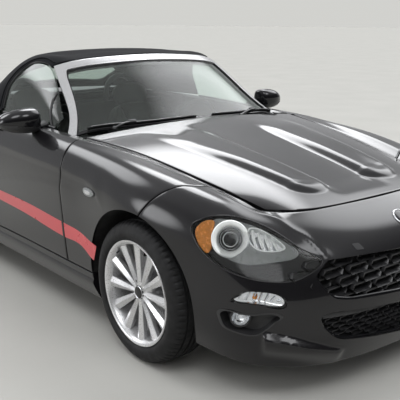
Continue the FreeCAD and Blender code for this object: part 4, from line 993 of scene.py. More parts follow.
def top_rise(points, row, column):
    """Cloth that dips between the bows, with sewn seams and a gathered rear."""
    across = np.abs(column - 5) / 5
    middle = 1 - smooth((across - 0.42) / 0.2)
    dip = np.zeros_like(row)
    for first, last in ((2.15, 3.15), (3.15, 4.15), (4.15, 5.0)):
        t = np.clip((row - first) / (last - first), 0, 1)
        dip -= 3.6 * np.sin(math.pi * t) ** 2 * middle
    bows = sum(1.0 * np.exp(-((row - place) / 0.05) ** 2) for place in (3.15, 4.15)) * middle
    seam = 1.7 * np.exp(-((across - 0.615) / 0.008) ** 2)
    window = np.maximum(np.abs(row - 5.83) / 0.83, np.abs(column - 5) / 1.95)
    seam += 1.8 * np.exp(-((window - 1.07) / 0.022) ** 2)
    folds = np.sin(across * 44 + 3 * np.sin(row * 2.1)) * smooth((across - 0.5) / 0.2)
    folds *= 1.3 * smooth((row - 5.3) / 0.8)
    ends = smooth((row - 2.0) / 0.25) * smooth((6.95 - row) / 0.2)
    return (dip + folds) * ends + seam + bows


def make_top_cover():
    """Stretched cloth top, its rear window and the seal round that."""
    cover = panel("soft_top_cover", ROOF, (top_front, 7), (0, 10), 16, (1400, 1900), (104, 140), edge=4,
                  shape=top_rise)
    side = panel("side_window", ROOF, (1.2, lambda c: glass_edge(c) + 0.045), (-0.5, 2.01), 60, (900, 500),
                 (70, 60), top=-60)
    over_door = panel("over_door", ROOF, (3.0, 4.6), (-0.5, 0.14), 60, (500, 100), (40, 12), top=-60)
    rows, size = (5.1, 6.55), (300, 650)
    hole = panel("window_hole", ROOF, rows, rounded_columns(rows, (3.2, 6.8), 0.25, 0.35), 90, size,
                 (26, 40), top=-60)
    carved(cover, [side, twin(side), over_door, twin(over_door), hole])
    dressed(cover, FABRIC, 50)
    done(cover, "body", ["soft_top"])
    pane = panel("rear_window_pane", ROOF, (5.103, 6.547), rounded_columns(rows, (3.203, 6.797), 0.25, 0.35),
                 9, size, (26, 40), top=4, edge=1)
    done(dressed(pane, GLASS, 40), "body", ["rear_window"])
    rows, inner = (5.06, 6.59), (5.15, 6.50)
    rim = panel("rear_window_seal", ROOF, rows, rounded_columns(rows, (3.12, 6.88), 0.27, 0.37), 7, size,
                (30, 50), top=-2.4, edge=2)
    cut = panel("seal_cut", ROOF, inner, rounded_columns(inner, (3.27, 6.73), 0.23, 0.33), 60, size,
                (30, 50), top=-40)
    done(dressed(carved(rim, [cut]), BLACK_SATIN, 40), "body")


def make_door_glass():
    """Door glass with its belt seal and the divider of the corner by the mirror."""
    pane = panel("door_pane_left", ROOF, (0.30, glass_edge), (-0.15, 1.96), 15, (700, 400), (52, 38),
                 top=10, edge=1)
    both(dressed(pane, GLASS, 40), "door_left", "window_glass", ["door_glass_left"])
    seals = Cluster()
    belt = [(row, 0.07) for row in np.linspace(0.42, 3.2, 50)]
    seals.add(sweep("belt", on_net(ROOF, belt, -8)[0], 0.0065, 10), BLACK_SATIN, 60)
    divider = [(row, 0.1 + (row - 0.62) / 0.48 * 1.75) for row in np.linspace(0.62, 1.1, 24)]
    seals.add(sweep("divider", on_net(ROOF, divider, -9)[0], 0.006, 10), BLACK_SATIN, 60)
    both(seals.join("door_seals_left"), "door_left", "screen_trim")


def roof_path(places, lift, count):
    """Smooth path near the roof net through places of row and column."""
    return on_net(ROOF, smooth_path(places, count), lift)[0]


def make_top_seams():
    """Piping along the side windows and rubber seals under the cloth's lower edges."""
    edge = [(r, 2.17) for r in (2.06, 2.3, 2.5)]
    edge += [(glass_edge(c) + 0.14, c + 0.04) for c in (1.9, 1.6, 1.2, 0.8, 0.4, 0.2)]
    window = [(2.06, 2.035), (2.4, 2.03)] + [(glass_edge(c) + 0.05, c) for c in (1.95, 1.6, 1.2, 0.7, 0.2)]
    belt = [(3.3, 0.15), (3.8, 0.15), (4.3, 0.15), (4.62, 0.12)]
    seams = Cluster()
    for places, lift, count, radius, material in ((edge, 1.5, 60, 0.0042, FABRIC),
                                                  (window, -9, 60, 0.0065, BLACK_SATIN),
                                                  (belt, -8, 30, 0.0055, BLACK_SATIN)):
        seams.add(sweep("seam", roof_path(places, lift, count), radius, 10), material, 60)
    both(seams.join("top_seals_left"), "body", "screen_trim")


# Lamps and grilles

def make_headlamp():
    """Headlamps: black mask, grey housing with a white ring round the projector, a ribbed second
    chamber, an amber reflector and a clear lens."""
    housing = [(-3.76, 4.50), (-3.45, 4.76), (-3.11, 4.93), (-2.67, 4.96), (-2.36, 4.82), (-2.14, 4.63),
               (-1.99, 4.40), (-2.10, 4.16), (-2.42, 3.98), (-2.80, 3.82), (-3.15, 3.70), (-3.50, 3.70),
               (-3.72, 3.86), (-3.82, 4.20)]
    chamber = [(-2.90, 4.82), (-2.70, 4.90), (-2.46, 4.80), (-2.30, 4.64), (-2.24, 4.48), (-2.36, 4.34),
               (-2.56, 4.26), (-2.78, 4.26), (-2.90, 4.42), (-2.94, 4.64)]
    amber = [(-4.02, 3.96), (-3.99, 4.14), (-3.90, 4.33), (-3.76, 4.45), (-3.70, 4.05), (-3.68, 3.68),
             (-3.76, 3.50), (-3.92, 3.62)]
    spot, normal = at_body((-3.30, 4.24), 13)
    lamp = Cluster(spot, (normal * 0.8 + Vector((-0.5, -0.86, 0.05)) * 0.45).normalized())
    for places, top, count, rings, material in ((scaled(HEADLAMP, 0.99), 18, 84, 16, BLACK_GLOSS),
                                                (housing, 13, 70, 12, BEZEL_GREY)):
        piece = sheet_on("layer", places, top, 5, count, rings, nose_rise)
        hole = facing(turned("hole", [(-60, 0.01), (-60, 64), (60, 64), (60, 0.01)]), spot, lamp.view)
        lamp.add(carved(piece, [hole, sheet_on("space", chamber, -30, 90, 60, 8, nose_rise)]), material, 40)
    collar = [(-30, 64), (-30, 69), (-2, 71), (7, 70), (11, 66), (10, 58), (4, 51), (-5, 47), (-10, 47),
              (-10, 51), (-4, 56), (0, 60), (-4, 64)]
    lamp.face(lathe("collar", collar, 72), BEZEL, 50)
    cone = [(-9, 49), (-26, 41), (-38, 30), (-39, 26), (-43, 26), (-43, 32), (-30, 45), (-12, 52)]
    lamp.face(lathe("cone", cone, 72), DARK_CHROME, 50)
    for radius, depth in ((45, 13), (38, 22)):
        lamp.face(ring("step", radius, 1.4, 72, 8), CHROME, depth=depth)
    eye = [(-44, 0.01), (-44, 27), (-24, 27), (-20, 25), (-14, 18), (-10, 9), (-9, 0.01)]
    lamp.face(turned("eye", eye, 56), BLACK_GLOSS, 40)
    lamp.face(ring("eye_rim", 27, 2.4, 64, 10), CHROME, depth=22)
    lamp.add(sheet_on("floor", scaled(chamber, 1.12), 34, 5, 60, 8, nose_rise, dome=-8), CHROME, 50)
    wall = sheet_on("wall", scaled(chamber, 1.08), 12, 24, 60, 2, nose_rise)
    lamp.add(carved(wall, [sheet_on("hole", scaled(chamber, 0.98), -30, 90, 60, 8, nose_rise)]), BEZEL, 40)
    for i in range(4):
        start, out = at_body((-2.86 + 0.14 * i, 4.80 - 0.01 * i), 16)
        end = at_body((-2.78 + 0.14 * i, 4.33 + 0.015 * i), 24)[0]
        path = smooth_path([start, (start + end) / 2 - out * 0.005, end], 8)
        lamp.add(sweep("rib", path, 0.006, 10, 0.5), BEZEL)
    lamp.add(sheet_on("amber", amber, 8, 8, 40, 6, nose_rise, dome=2), AMBER)
    edge = on_net(BODY, smooth_loop(HEADLAMP, 96), -1.5, nose_rise)[0]
    lamp.add(sweep("edge", np.vstack([edge, edge[:1]]), 0.003, 8), BLACK_GLOSS, 60)
    both(lamp.join("headlamp_inside_right"), "body", "lamp_lens", ["headlamps"])
    lens = sheet_on("headlamp_lens_right", scaled(HEADLAMP, 0.992), 0.5, 3, 84, 16, nose_rise, dome=3)
    both(dressed(lens, LENS, 50), "body", "lamp_lens")


def make_low_lamps():
    """Turn lamps in their black surrounds and fog lamps in their pockets."""
    lens = sheet_on("turn_lamp_right", TURN_LAMP, 3, 4, 48, 8, nose_rise, dome=2)
    both(dressed(lens, LENS), "body", "lamp_lens")
    turn = Cluster(*at_body((-2.95, 2.84), 10))
    turn.add(sheet_on("back", TURN_LAMP, 26, 5, 48, 6, nose_rise, dome=-4), BLACK_SATIN)
    turn.add(sheet_on("bowl", scaled(TURN_LAMP, 0.9), 16, 4, 48, 8, nose_rise, dome=-7), CHROME, 50)
    for share in (np.arange(7) + 0.5) / 7:
        row = -3.24 + share * 0.78
        start = at_body((row - 0.03, 2.66 + 0.2 * share), 12)[0]
        end = at_body((row + 0.05, 2.86 + 0.14 * math.sin(math.pi * share)), 12)[0]
        turn.add(sweep("rib", [start, (start + end) / 2, end], 0.005, 8, 0.6), CHROME)
    turn.face(turned("bulb", [(-10, 0.01), (-10, 9), (-2, 8), (2, 5), (3, 0.01)], 24), AMBER)
    both(turn.join("turn_lamp_inside_right"), "body", "lamp_lens")
    spot, normal = at_body((-3.21, 2.02), 20)
    fog = Cluster(spot, (normal * 0.45 + Vector((-0.25, -0.95, 0)) * 0.65).normalized())
    fog.add(sheet_on("space", FOG_SPACE, 46, 5, 56, 10, nose_rise, dome=-10), BLACK_SATIN)
    wall = sheet_on("wall", FOG_SPACE, -1, 48, 56, 2, nose_rise)
    hole = sheet_on("hole", scaled(FOG_SPACE, 0.90), -30, 140, 56, 8, nose_rise)
    fog.add(carved(wall, [hole]), BLACK_SATIN)
    collar = [(-24, 40), (-2, 40), (4, 38), (4, 34), (-2, 33), (-24, 33)]
    fog.face(lathe("collar", collar, 56), BLACK_SATIN, 40)
    bowl = [(-2, 33), (-16, 26), (-24, 12), (-25, 1), (-29, 1), (-28, 14), (-18, 30), (-4, 35)]
    fog.face(lathe("bowl", bowl, 56), CHROME, 50)
    fog.face(turned("eye", [(-26, 0.01), (-26, 13), (-14, 12), (-9, 7), (-8, 0.01)], 32), CHROME)
    inside = fog.join("fog_lamp_right")
    done(inside, "body", ["lower_lamps"])
    done(twin(inside, "fog_lamp_left"), "body")
    glass = turned("fog_lens_right", [(-4, 0.01), (-4, 33.5), (-1, 33.5), (4, 26), (6.5, 13), (7, 0.01)], 56)
    both(dressed(facing(glass, spot, fog.view), LENS, 40), "body", "lamp_lens")


NOSE_GRID = BODY.points(*np.meshgrid(np.linspace(-4.6, 4.6, 240), np.linspace(0, 6, 120),
                                     indexing="ij")).reshape(-1, 3)


def surface_front(x, z):
    """Station of the bumper cover's surface at x and z, from a grid of the net."""
    near = np.argsort((NOSE_GRID[:, 0] - x) ** 2 + (NOSE_GRID[:, 2] - z) ** 2)[:4]
    share = 1 / (1 + np.hypot(NOSE_GRID[near, 0] - x, NOSE_GRID[near, 2] - z))
    return float((NOSE_GRID[near, 1] * share).sum() / share.sum())


def inside_outline(x, z, outline):
    """True if a place is inside an outline of x and z."""
    count, inside = len(outline), False
    for i in range(count):
        (x0, z0), (x1, z1) = outline[i], outline[(i + 1) % count]
        if (z0 > z) != (z1 > z) and x < x0 + (z - z0) / (z1 - z0) * (x1 - x0):
            inside = not inside
    return inside


ACROSS = [(-0.5, 0), (-0.39, 0.5), (0.39, 0.5), (0.5, 0), (0.39, -0.5), (-0.39, -0.5)]


def scale_cell(verts, faces, x, s, z, wide, high):
    """One cell of the mesh: a long six-sided frame whose lower lip stands forward like a scale."""
    bar = 3.2 + 0.05 * high
    start = len(verts)
    for inset, step in ((-0.6, 8), (0.4, -3), (bar, 0), (bar + 1.5, 24)):
        for a, b in ACROSS:
            forward = step + (10 * b if inset < 0.5 else 0)
            verts.append((x + a * (wide - 1.6 * inset), s + forward, z + b * (high - 1.9 * inset)))
    faces.extend(band_faces(4, 6, start))
    for i in range(6):
        j = (i + 1) % 6
        faces.append((start + i, start + j, start + 18 + j, start + 18 + i))


def make_grilles():
    """Scaled upper mesh and fine lower mesh, each with a frame and a dark panel behind."""
    grille = Cluster()
    for outline, depth, wide, high in ((MAIN_GRILLE, 26, 112, 34), (LOWER_GRILLE, 28, 60, 17)):
        verts, faces = [], []
        columns, rows = int(1140 / wide), int(260 / high) + 2
        low = min(z for x, z in outline) - high / 2
        for i in range(-columns // 2 - 1, columns // 2 + 2):
            for j in range(rows):
                x, z = (i + 0.5 * (j % 2)) * wide, low + j * high
                spots = ((0, 0), (0, 0.3), (0, -0.3), (0.4, 0), (-0.4, 0))
                if any(inside_outline(x + a * wide, z + b * high, outline) for a, b in spots):
                    scale_cell(verts, faces, x, surface_front(x, z) + depth, z, wide, high)
        grille.add(solid("mesh", metres(verts), faces), GRILLE, 35)
        corners = np.array(rounded(outline, 20))
        middle = corners.mean(axis=0)
        inset = corners - 5 * (corners - middle) / np.linalg.norm(corners - middle, axis=1, keepdims=True)
        rim = [(a, surface_front(x, z) + 12, b) for (x, z), (a, b) in zip(corners, inset)]
        grille.add(sweep("rim", metres(rim + rim[:1]), 0.007, 10), BLACK_GLOSS)
        back = np.array([(x, surface_front(x, z) + 75, z) for x, z in corners])
        grille.add(loft("back", [metres(back), metres(back + [0, 6, 0])]), LINER)
    done(grille.join("grille_set"), "body", ["grilles"])


def make_nose_cover():
    """Small blank cover beside the badge."""
    loop, normals = on_net(BODY, [(-1.09, 4.58), (-0.965, 4.58), (-0.92, 4.37), (-1.05, 4.37)], 0, nose_rise)
    cover = prism("nose_cover_plate", rounded(loop, 0.006, 4), normals.mean(axis=0), 0.004, 0.0012)
    done(dressed(cover, BLACK_SATIN, 30), "body")


def make_tail():
    """Tail lamps: a red lens over a red ring on a bright back."""
    lens = sheet_on("tail_lens_left", TAIL_LAMP, 1, 5, 56, 10)
    both(dressed(lens, RED_LENS), "body", "tail_lens", ["tail_lamps"])
    lamp = Cluster()
    lamp.add(sheet_on("back", TAIL_LAMP, 26, 6, 56, 8), CHROME)
    band = sheet_on("band", scaled(TAIL_LAMP, 0.72), 10, 8, 56, 8)
    lamp.add(carved(band, [sheet_on("hole", scaled(TAIL_LAMP, 0.5), -20, 60, 56, 8)]), RED_LENS)
    both(lamp.join("tail_lamp_left"), "body", "tail_lens")


# Wheels

def tyre_profile():
    """Section of a low tyre with four grooves, from one bead round to the other."""
    half = [(0, 308), (7, 308), (8, 300.5), (17, 300.5), (18, 308), (43, 307.3), (44, 300), (53, 300),
            (54, 306.8), (66, 305.2), (77, 301), (85, 294.5), (91, 286), (96.5, 276), (99.5, 268),
            (101.6, 260), (102.2, 252), (100.6, 243), (96.5, 235.5), (92.5, 232.5), (89.5, 229.5),
            (88.5, 223), (88, 217)]
    inner = [(84, 217.5), (80, 226), (88, 250), (86, 272), (70, 290), (30, 295)]
    return [(-x, r) for x, r in half[:0:-1]] + half + inner + [(-x, r) for x, r in inner[::-1]]


def tread_cut(angle, x, r):
    """Short slots across the shoulders and slim ones between the grooves."""
    pitch = TURN / 70
    phase = (angle / pitch + 0.25 * np.sign(x)) % 1
    slot = (phase < 0.16) & (np.abs(x) > 56) & (r > 290)
    fine = ((phase + 0.5) % 1 < 0.12) & (np.abs(x) > 21) & (np.abs(x) < 41) & (r > 302)
    return np.where(slot, -4.5, 0) + np.where(fine, -3.0, 0)


def make_tyre():
    """Tyre about X, with extra points across the wide blocks of its tread."""
    profile = []
    outer = tyre_profile()
    for (x, r), after in zip(outer, outer[1:] + outer[:1]):
        profile.append((x, r))
        if r > 299 and after[1] > 290 and 9 < abs(after[0] - x) < 60:
            profile.append(((x + after[0]) / 2, (r + after[1]) / 2))
    return dressed(lathe("tyre", profile, 280, tread_cut), RUBBER, 28)


def spoke(angle, width_low, width_high, foot, tip):
    """One straight blade of two facets that meet in a ridge."""
    rings = []
    for t in np.linspace(0, 1, 9):
        r = foot + (tip - foot) * t
        half = 0.5 * (width_low + (width_high - width_low) * t)
        face = 68 + 9 * t
        blade = [(face - 26, -half * 0.8), (face - 8, -half), (face - 5.5, -half * 0.97), (face + 3.5, 0),
                 (face - 5.5, half * 0.97), (face - 8, half), (face - 26, half * 0.8)]
        rings.append([(x / 1000, (r * math.cos(angle) - side * math.sin(angle)) / 1000,
                       (r * math.sin(angle) + side * math.cos(angle)) / 1000) for x, side in blade])
    return loft("spoke", rings)


def make_rim():
    """Rim with twelve straight blades, a hub, a plain cap, four nuts and a valve."""
    rim = Cluster()
    barrel = [(95, 220), (95, 226.5), (92.5, 228), (90, 227), (88.5, 222), (88, 217), (80, 214), (60, 213),
              (30, 204), (-20, 200), (-60, 206), (-80, 214), (-88, 217), (-90, 227), (-93, 228), (-95, 226),
              (-95, 217), (-88, 209), (-60, 198), (-20, 192), (30, 196), (60, 204), (78, 207), (86, 211),
              (91, 215)]
    rim.add(lathe("barrel", barrel, 180), ALLOY, 40)
    count = 12
    for i in range(count):
        rim.add(spoke(TURN * (i + 0.5) / count, 20, 50, 30, 211), ALLOY, 18)
    hub = [(36, 0.01), (36, 70), (48, 71), (55, 64), (62, 46), (67, 36), (67, 32), (60, 31), (60, 0.01)]
    rim.add(turned("hub", hub, 96), ALLOY, 30)
    cap = [(58, 0.01), (58, 29), (69, 29), (71.5, 27), (72.5, 24), (73, 0.01)]
    rim.add(turned("cap", cap, 72), BLACK_GLOSS, 30)
    rim.add(moved(ring("cap_ring", 27, 1.6, 72, 8), Matrix.Translation((0.0715, 0, 0))), CHROME)
    for i in range(4):
        angle = TURN * (i + 0.5) / 4
        nut = turned("nut", [(52, 0.01), (52, 9.5), (66, 9.5), (69, 7.5), (69.5, 0.01)], 6)
        place = Matrix.Translation((0, 0.049 * math.cos(angle), 0.049 * math.sin(angle)))
        rim.add(moved(nut, place), CHROME, 25)
    rim.add(sweep("valve", [(0.074, 0.165, 0.115), (0.088, 0.160, 0.111)], 0.004, 10), BLACK_SATIN)
    return rim.join("rim")


def make_wheels():
    """Four wheels, each with its own tyre and rim."""
    sources = (make_tyre(), "tyre", "tyre_rubber"), (make_rim(), "rim", "rim_alloy")
    for name, side, station, track in (("fl", 1, FRONT_AXLE, 748), ("fr", -1, FRONT_AXLE, 748),
                                       ("rl", 1, REAR_AXLE, 751.5), ("rr", -1, REAR_AXLE, 751.5)):
        centre = Vector(metres((side * track, station, HUB)))
        for source, kind, slot in sources:
            cover = kind + "_cover_" + name
            piece = link(cover, source.data.copy()) if side > 0 else twin(source, cover)
            moved(piece, Matrix.Translation(centre) @ Matrix.Rotation(0.23, 4, "X"))
            done(piece, "wheel_" + name, [kind + "_" + name])
    for source, kind, slot in sources:
        bpy.data.objects.remove(source)


# Fittings

def ellipsoid_rings(centre, size, power, count, steps):
    """Rings of a rounded-box solid about X, from one end to the other."""
    rings = []
    for i in range(count + 1):
        t = math.sin((-1 + 2 * i / count) * math.pi / 2)
        scale = max((1 - abs(t) ** power) ** (1 / power), 0.02)
        rings.append([(centre[0] + t * size[0] / 2, centre[1] + a * scale * size[1] / 2,
                       centre[2] + b * scale * size[2] / 2) for a, b, _ in squared_circle(power, steps)])
    return rings


def make_mirrors():
    """Door mirrors: wedge-shaped shell, a lower half in satin black, glass and a foot on the door."""
    rings, count = [], 30
    for t in np.linspace(0, 1, count + 1):
        x = 0.744 + 0.203 * t
        rear = -0.158 + 0.010 * t
        bow = math.sqrt(max(1 - (2 * t * 0.93 - 0.86) ** 2 * 0.92, 0.0))
        rise = math.sqrt(max(1 - abs(2 * t * 0.98 - 0.74) ** 2.4 * 0.55, 0.02))
        fall = math.sqrt(max(1 - abs(2 * t * 0.95 - 0.8) ** 2.6 * 0.5, 0.02))
        front = -0.206 - 0.072 * bow + 0.03 * t * t
        top = 0.919 + 0.066 * rise - 0.018 * t ** 2
        low = 0.919 - 0.060 * fall + 0.016 * t ** 2
        end = min(t / 0.09, (1 - t) / 0.10, 1.0)
        shrink = math.sqrt(max(1 - (1 - end) ** 2, 0.001))
        points = []
        for a, b, c in squared_circle(2.8, 56):
            taper = 1 - 0.20 * abs(c) ** 1.5 if c < 0 else 1
            points.append((x, (front + rear) / 2 + shrink * (rear - front) / 2 * a,
                           (top + low) / 2 + shrink * (top - low) / 2 * b * taper))
        rings.append(points)
    mirror = Cluster((0, 0, 0), (1, 0, 0))
    mirror.add(loft("shell", rings), BLACK_GLOSS, 40)
    lined(mirror.parts[0], BLACK_SATIN,
          lambda face: face.center.z < 0.889 + 0.02 * (face.center.x - 0.74) / 0.2)
    pane = [(0.846 + 0.080 * a, -0.156 + 0.004 * c, 0.918 + 0.045 * b) for a, b, c in squared_circle(3, 48)]
    mirror.add(prism("glass", pane, (0, 1, 0), 0.008, 0.004), CHROME, 30)
    foot = smooth_path([(0.698, -0.176, 0.893), (0.735, -0.180, 0.886), (0.775, -0.190, 0.884)], 12)
    mirror.add(sweep("foot", foot, lambda t: 0.034 - 0.006 * t, 24, 0.5), BLACK_SATIN, 40)
    both(mirror.join("mirror_set_left"), "door_left", "mirror_housing", ["mirror_left"])


def make_wipers():
    """Arm and blade for each wiper, lying at the foot of the screen."""
    wipers = Cluster()
    spots = ((0.19, 0.86), (0.225, 2.72), (0.05, 2.2)), ((0.205, 3.0), (0.235, 4.9), (0.05, 4.35))
    for start, end, pivot in spots:
        places = np.linspace(start, end, 28)
        wipers.add(sweep("blade", on_net(SCREEN, places, 3)[0], 0.0045, 8, 1.7), RUBBER)
        spine, normals = on_net(SCREEN, places, 11)
        wipers.add(sweep("spine", spine[1:-1], 0.0062, 10, 0.7), BLACK_SATIN)
        middle, up = Vector(spine[14]), Vector(normals[14])
        along = Vector(spine[16] - spine[12]).normalized()
        knuckle = box("knuckle", (-0.022, -0.010, -0.009), (0.022, 0.010, 0.014), 0.004)
        wipers.add(moved(knuckle, axes(along, up.cross(along).normalized(), up, middle)), BLACK_SATIN, 40)
        feet, foot_normals = on_net(SCREEN, [pivot], 7)
        foot = Vector(feet[0])
        arm = smooth_path([foot, (foot + middle) / 2 + up * 0.012, middle + up * 0.008], 18)
        wipers.add(sweep("arm", arm, lambda t: 0.010 - 0.0035 * t, 10, 0.55), BLACK_SATIN)
        cap = turned("cap", [(-12, 0.01), (-12, 13), (2, 12), (6, 8), (7, 0.01)], 28)
        wipers.add(facing(cap, foot, foot_normals[0]), BLACK_SATIN, 40)
    done(wipers.join("wiper_set"), "body", ["wipers"])


def make_handles():
    """Slim pulls that stand out from the doors' skins."""
    places = [(row, 4.62) for row in np.linspace(8.28, 8.66, 20)]
    path = on_net(BODY, places, 9 * np.sin(np.linspace(0, math.pi, 20)) ** 0.5, side_rise)[0]
    handle = dressed(sweep("door_handle_left", path, 0.0125, 16, 0.45), PAINT)
    both(handle, "door_left", "body_paint")


def patch(name, rows, columns, top, depth, count, ends=None):
    """Thin strip laid on the body's side. Columns may be functions of the row, and ends bend its rows."""
    a, b = np.meshgrid(np.linspace(0, 1, count[0]), np.linspace(0, 1, count[1]), indexing="ij")
    row = rows[0] + a * (rows[1] - rows[0])
    if ends:
        row = row + ends(a, b)
    low, high = [c(row) if callable(c) else c for c in columns]
    column = low + b * (high - low)
    points, normals = BODY.points(row, column), BODY.normals(row, column)
    surface = points + normals * (side_rise(points, row, column) - top)[..., None]
    return brick(name, surface, surface - normals * depth)


STRIPE_TOP = ([5.6, 5.93, 6.27, 7.01, 7.57, 8.27, 8.8, 9.3, 9.9, 10.4],
              [2.02, 2.12, 2.25, 2.33, 2.44, 2.51, 2.56, 2.6, 2.62, 2.6])
STRIPE_LOW = ([5.6, 5.96, 6.23, 7.03, 7.50, 8.32, 8.8, 9.3, 9.9, 10.4],
              [1.5, 1.62, 1.83, 1.91, 2.03, 2.18, 2.24, 2.28, 2.3, 2.28])


def make_stripes():
    """Red stripes between the wheels, cut at the door's shut lines."""
    for part, first, last, body in (("fender", 5.86, 6.972, "body"), ("door", 7.028, 8.972, "door_left"),
                                    ("quarter", 9.025, 9.92, "body")):
        ends = (lambda a, b: 0.10 * (0.5 - b) * (1 - a)) if part == "fender" else None
        strip = patch("stripe_" + part + "_left", (first, last),
                      (lambda r: through(*STRIPE_LOW, r), lambda r: through(*STRIPE_TOP, r)), -0.45, 0.9,
                      (int((last - first) * 34), 12), ends)
        both(dressed(strip, STRIPE, 40), body, "body_paint")


def make_small_lamps():
    """Side markers: a grey lens with a bright bulb on a dark seal."""
    outline = [(-6.12, 3.60), (-6.02, 3.69), (-5.88, 3.69), (-5.76, 3.60), (-5.79, 3.49), (-5.88, 3.42),
               (-6.00, 3.42), (-6.09, 3.49)]
    marker = Cluster()
    marker.add(sheet_on("seal", scaled(outline, 0.98), -2, 7, 40, 6, side_rise), BLACK_SATIN, 40)
    marker.add(sheet_on("lens", scaled(outline, 0.84), -5, 7, 40, 8, side_rise, dome=3), BEZEL_GREY, 60)
    marker.add(sheet_on("bulb", scaled(outline, 0.45), -8.2, 4, 30, 5, side_rise, dome=1), CHROME, 60)
    both(marker.join("side_marker_right"), "body", "lamp_lens")


def make_badge():
    """Blank round badge on the nose and on the tail."""
    disc = [(-12, 0.01), (-12, 38), (0, 38), (2.2, 34), (3.4, 20), (3.8, 0.01)]
    for name, place, rise in (("badge_front", (0.0, 5.07), nose_rise),
                              ("badge_rear", (TAIL_MIDDLE, 4.62), side_rise)):
        spots, normals = on_net(BODY, [place], 1, rise)
        badge = Cluster(spots[0], normals[0])
        badge.face(turned("disc", disc), BLACK_GLOSS)
        badge.face(ring("band", 39, 3.4, 72, 12), CHROME)
        done(badge.join(name), "body")


def make_tail_trim():
    """Blank number plate in its tray, low black panel and red reflectors at the tail."""
    def plate(name, half, low, high, y, back, front):
        corners = [(-half, y, low), (half, y, low), (half, y, high), (-half, y, high)]
        return prism(name, rounded(corners, 0.010), (0, 1, 0), back, front)

    holder = Cluster()
    tray = plate("tray", 0.1772, 0.4328, 0.6172, 1.972, 0, 0.034)
    holder.add(carved(tray, [plate("space", 0.171, 0.439, 0.611, 1.985, 0, 0.06)]), BLACK_SATIN, 40)
    holder.add(plate("face", 0.152, 0.449, 0.601, 1.988, 0.002, 0.002), PLATE, 40)
    for x in (-0.09, 0.09):
        bolt = turned("bolt", [(-4, 0.01), (-4, 6), (2, 5.5), (3, 0.01)], 24)
        holder.add(facing(bolt, (x, 1.991, 0.588), (0, 1, 0)), CHROME, 40)
    done(holder.join("plate_rear"), "body")
    low = patch("tail_low_panel", (13.1, 18.9), (0.02, lambda r: 1.25 + 0.1 * np.cos(r - TAIL_MIDDLE)),
                -1.4, 2.2, (120, 12))
    done(dressed(low, BLACK_SATIN, 40), "body")
    places = [(13.45, 1.52), (13.5, 1.72), (14.2, 1.70), (14.5, 1.62), (14.45, 1.50), (14.2, 1.46),
              (13.6, 1.46)]
    strip = sheet_on("tail_reflector_left", places, -1.5, 4, 48, 5, side_rise, dome=1.5)
    both(dressed(strip, RED_LENS, 40), "body", "tail_lens")


def make_engine():
    """Engine with a ribbed cover, intake runners, heat shield and pulleys."""
    engine = Cluster()
    for low, high, bevel, material in (((-0.15, -1.325, 0.24), (0.15, -0.725, 0.50), 0.018, ENGINE),
                                       ((-0.13, -1.315, 0.49), (0.13, -0.75, 0.63), 0.012, CAST),
                                       ((-0.12, -1.28, 0.236), (0.12, -0.80, 0.30), 0.02, CAST),
                                       ((-0.118, -1.30, 0.622), (0.118, -0.80, 0.688), 0.022, BLACK_SATIN),
                                       ((-0.228, -1.25, 0.40), (-0.132, -0.86, 0.60), 0.03, STEEL)):
        engine.add(box("block", low, high, bevel), material, 40)
    for x in 0.024 * np.arange(-3, 4):
        engine.add(box("rib", (x - 0.005, -1.27, 0.682), (x + 0.005, -0.83, 0.695), 0.003), BLACK_SATIN, 40)
    for z in 0.30 + 0.04 * np.arange(5):
        engine.add(box("rib", (-0.158, -1.30, z), (0.158, -0.75, z + 0.008), 0.002), ENGINE, 40)
    for y in -1.23 + 0.125 * np.arange(4):
        runner = smooth_path([(0.11, y, 0.60), (0.165, y, 0.625), (0.205, y, 0.58), (0.208, y, 0.50)], 20)
        engine.add(sweep("runner", runner, 0.021, 20), CAST, 50)
    plenum = smooth_path([(0.205, -1.29, 0.49), (0.207, -1.05, 0.485), (0.205, -0.80, 0.49)], 16)
    engine.add(sweep("plenum", plenum, 0.033, 28), BLACK_SATIN, 50)
    for x, z, radius in ((0.0, 0.34, 62), (0.105, 0.42, 36), (-0.10, 0.45, 42), (0.02, 0.55, 34)):
        groove = [(-4, 0.01), (-4, radius), (2, radius), (5, radius - 6), (9, radius - 6), (12, radius),
                  (18, radius), (18, radius - 14), (12, radius - 18), (14, 8), (20, 6), (20, 0.01)]
        engine.add(facing(turned("pulley", groove, 48), (x, -1.327, z), (0, -1, 0)), STEEL, 35)
    done(engine.join("engine_set"), "body", ["engine_block"])


# Cabin

DRIVER_X = 0.355


def pad(name, size, place, power, detail):
    """Crowned closed pad with its face along +Z, set at a place."""
    side = np.linspace(-1, 1, 44)
    u, v = np.meshgrid(side, side, indexing="ij")
    edge = (np.abs(u) ** power + np.abs(v) ** power) ** (1 / power)
    square = np.maximum(np.abs(u), np.abs(v))
    scale = square / np.maximum(edge, 1e-6)
    x, y = u * scale * size[0] / 2, v * scale * size[1] / 2
    dome = 1 - square ** 4
    top = size[2] / 2 * (0.55 + 0.45 * dome) + 0.012 * (1 - square ** 2)
    if detail is not None:
        top = top + detail(u, v)
    low = -size[2] / 2 * (0.6 + 0.4 * dome)
    outer, inner = [np.stack([x, y, z], -1) * 1000 + [0, MIDDLE, 0] for z in (top, low)]
    return moved(brick(name, outer, inner), place)


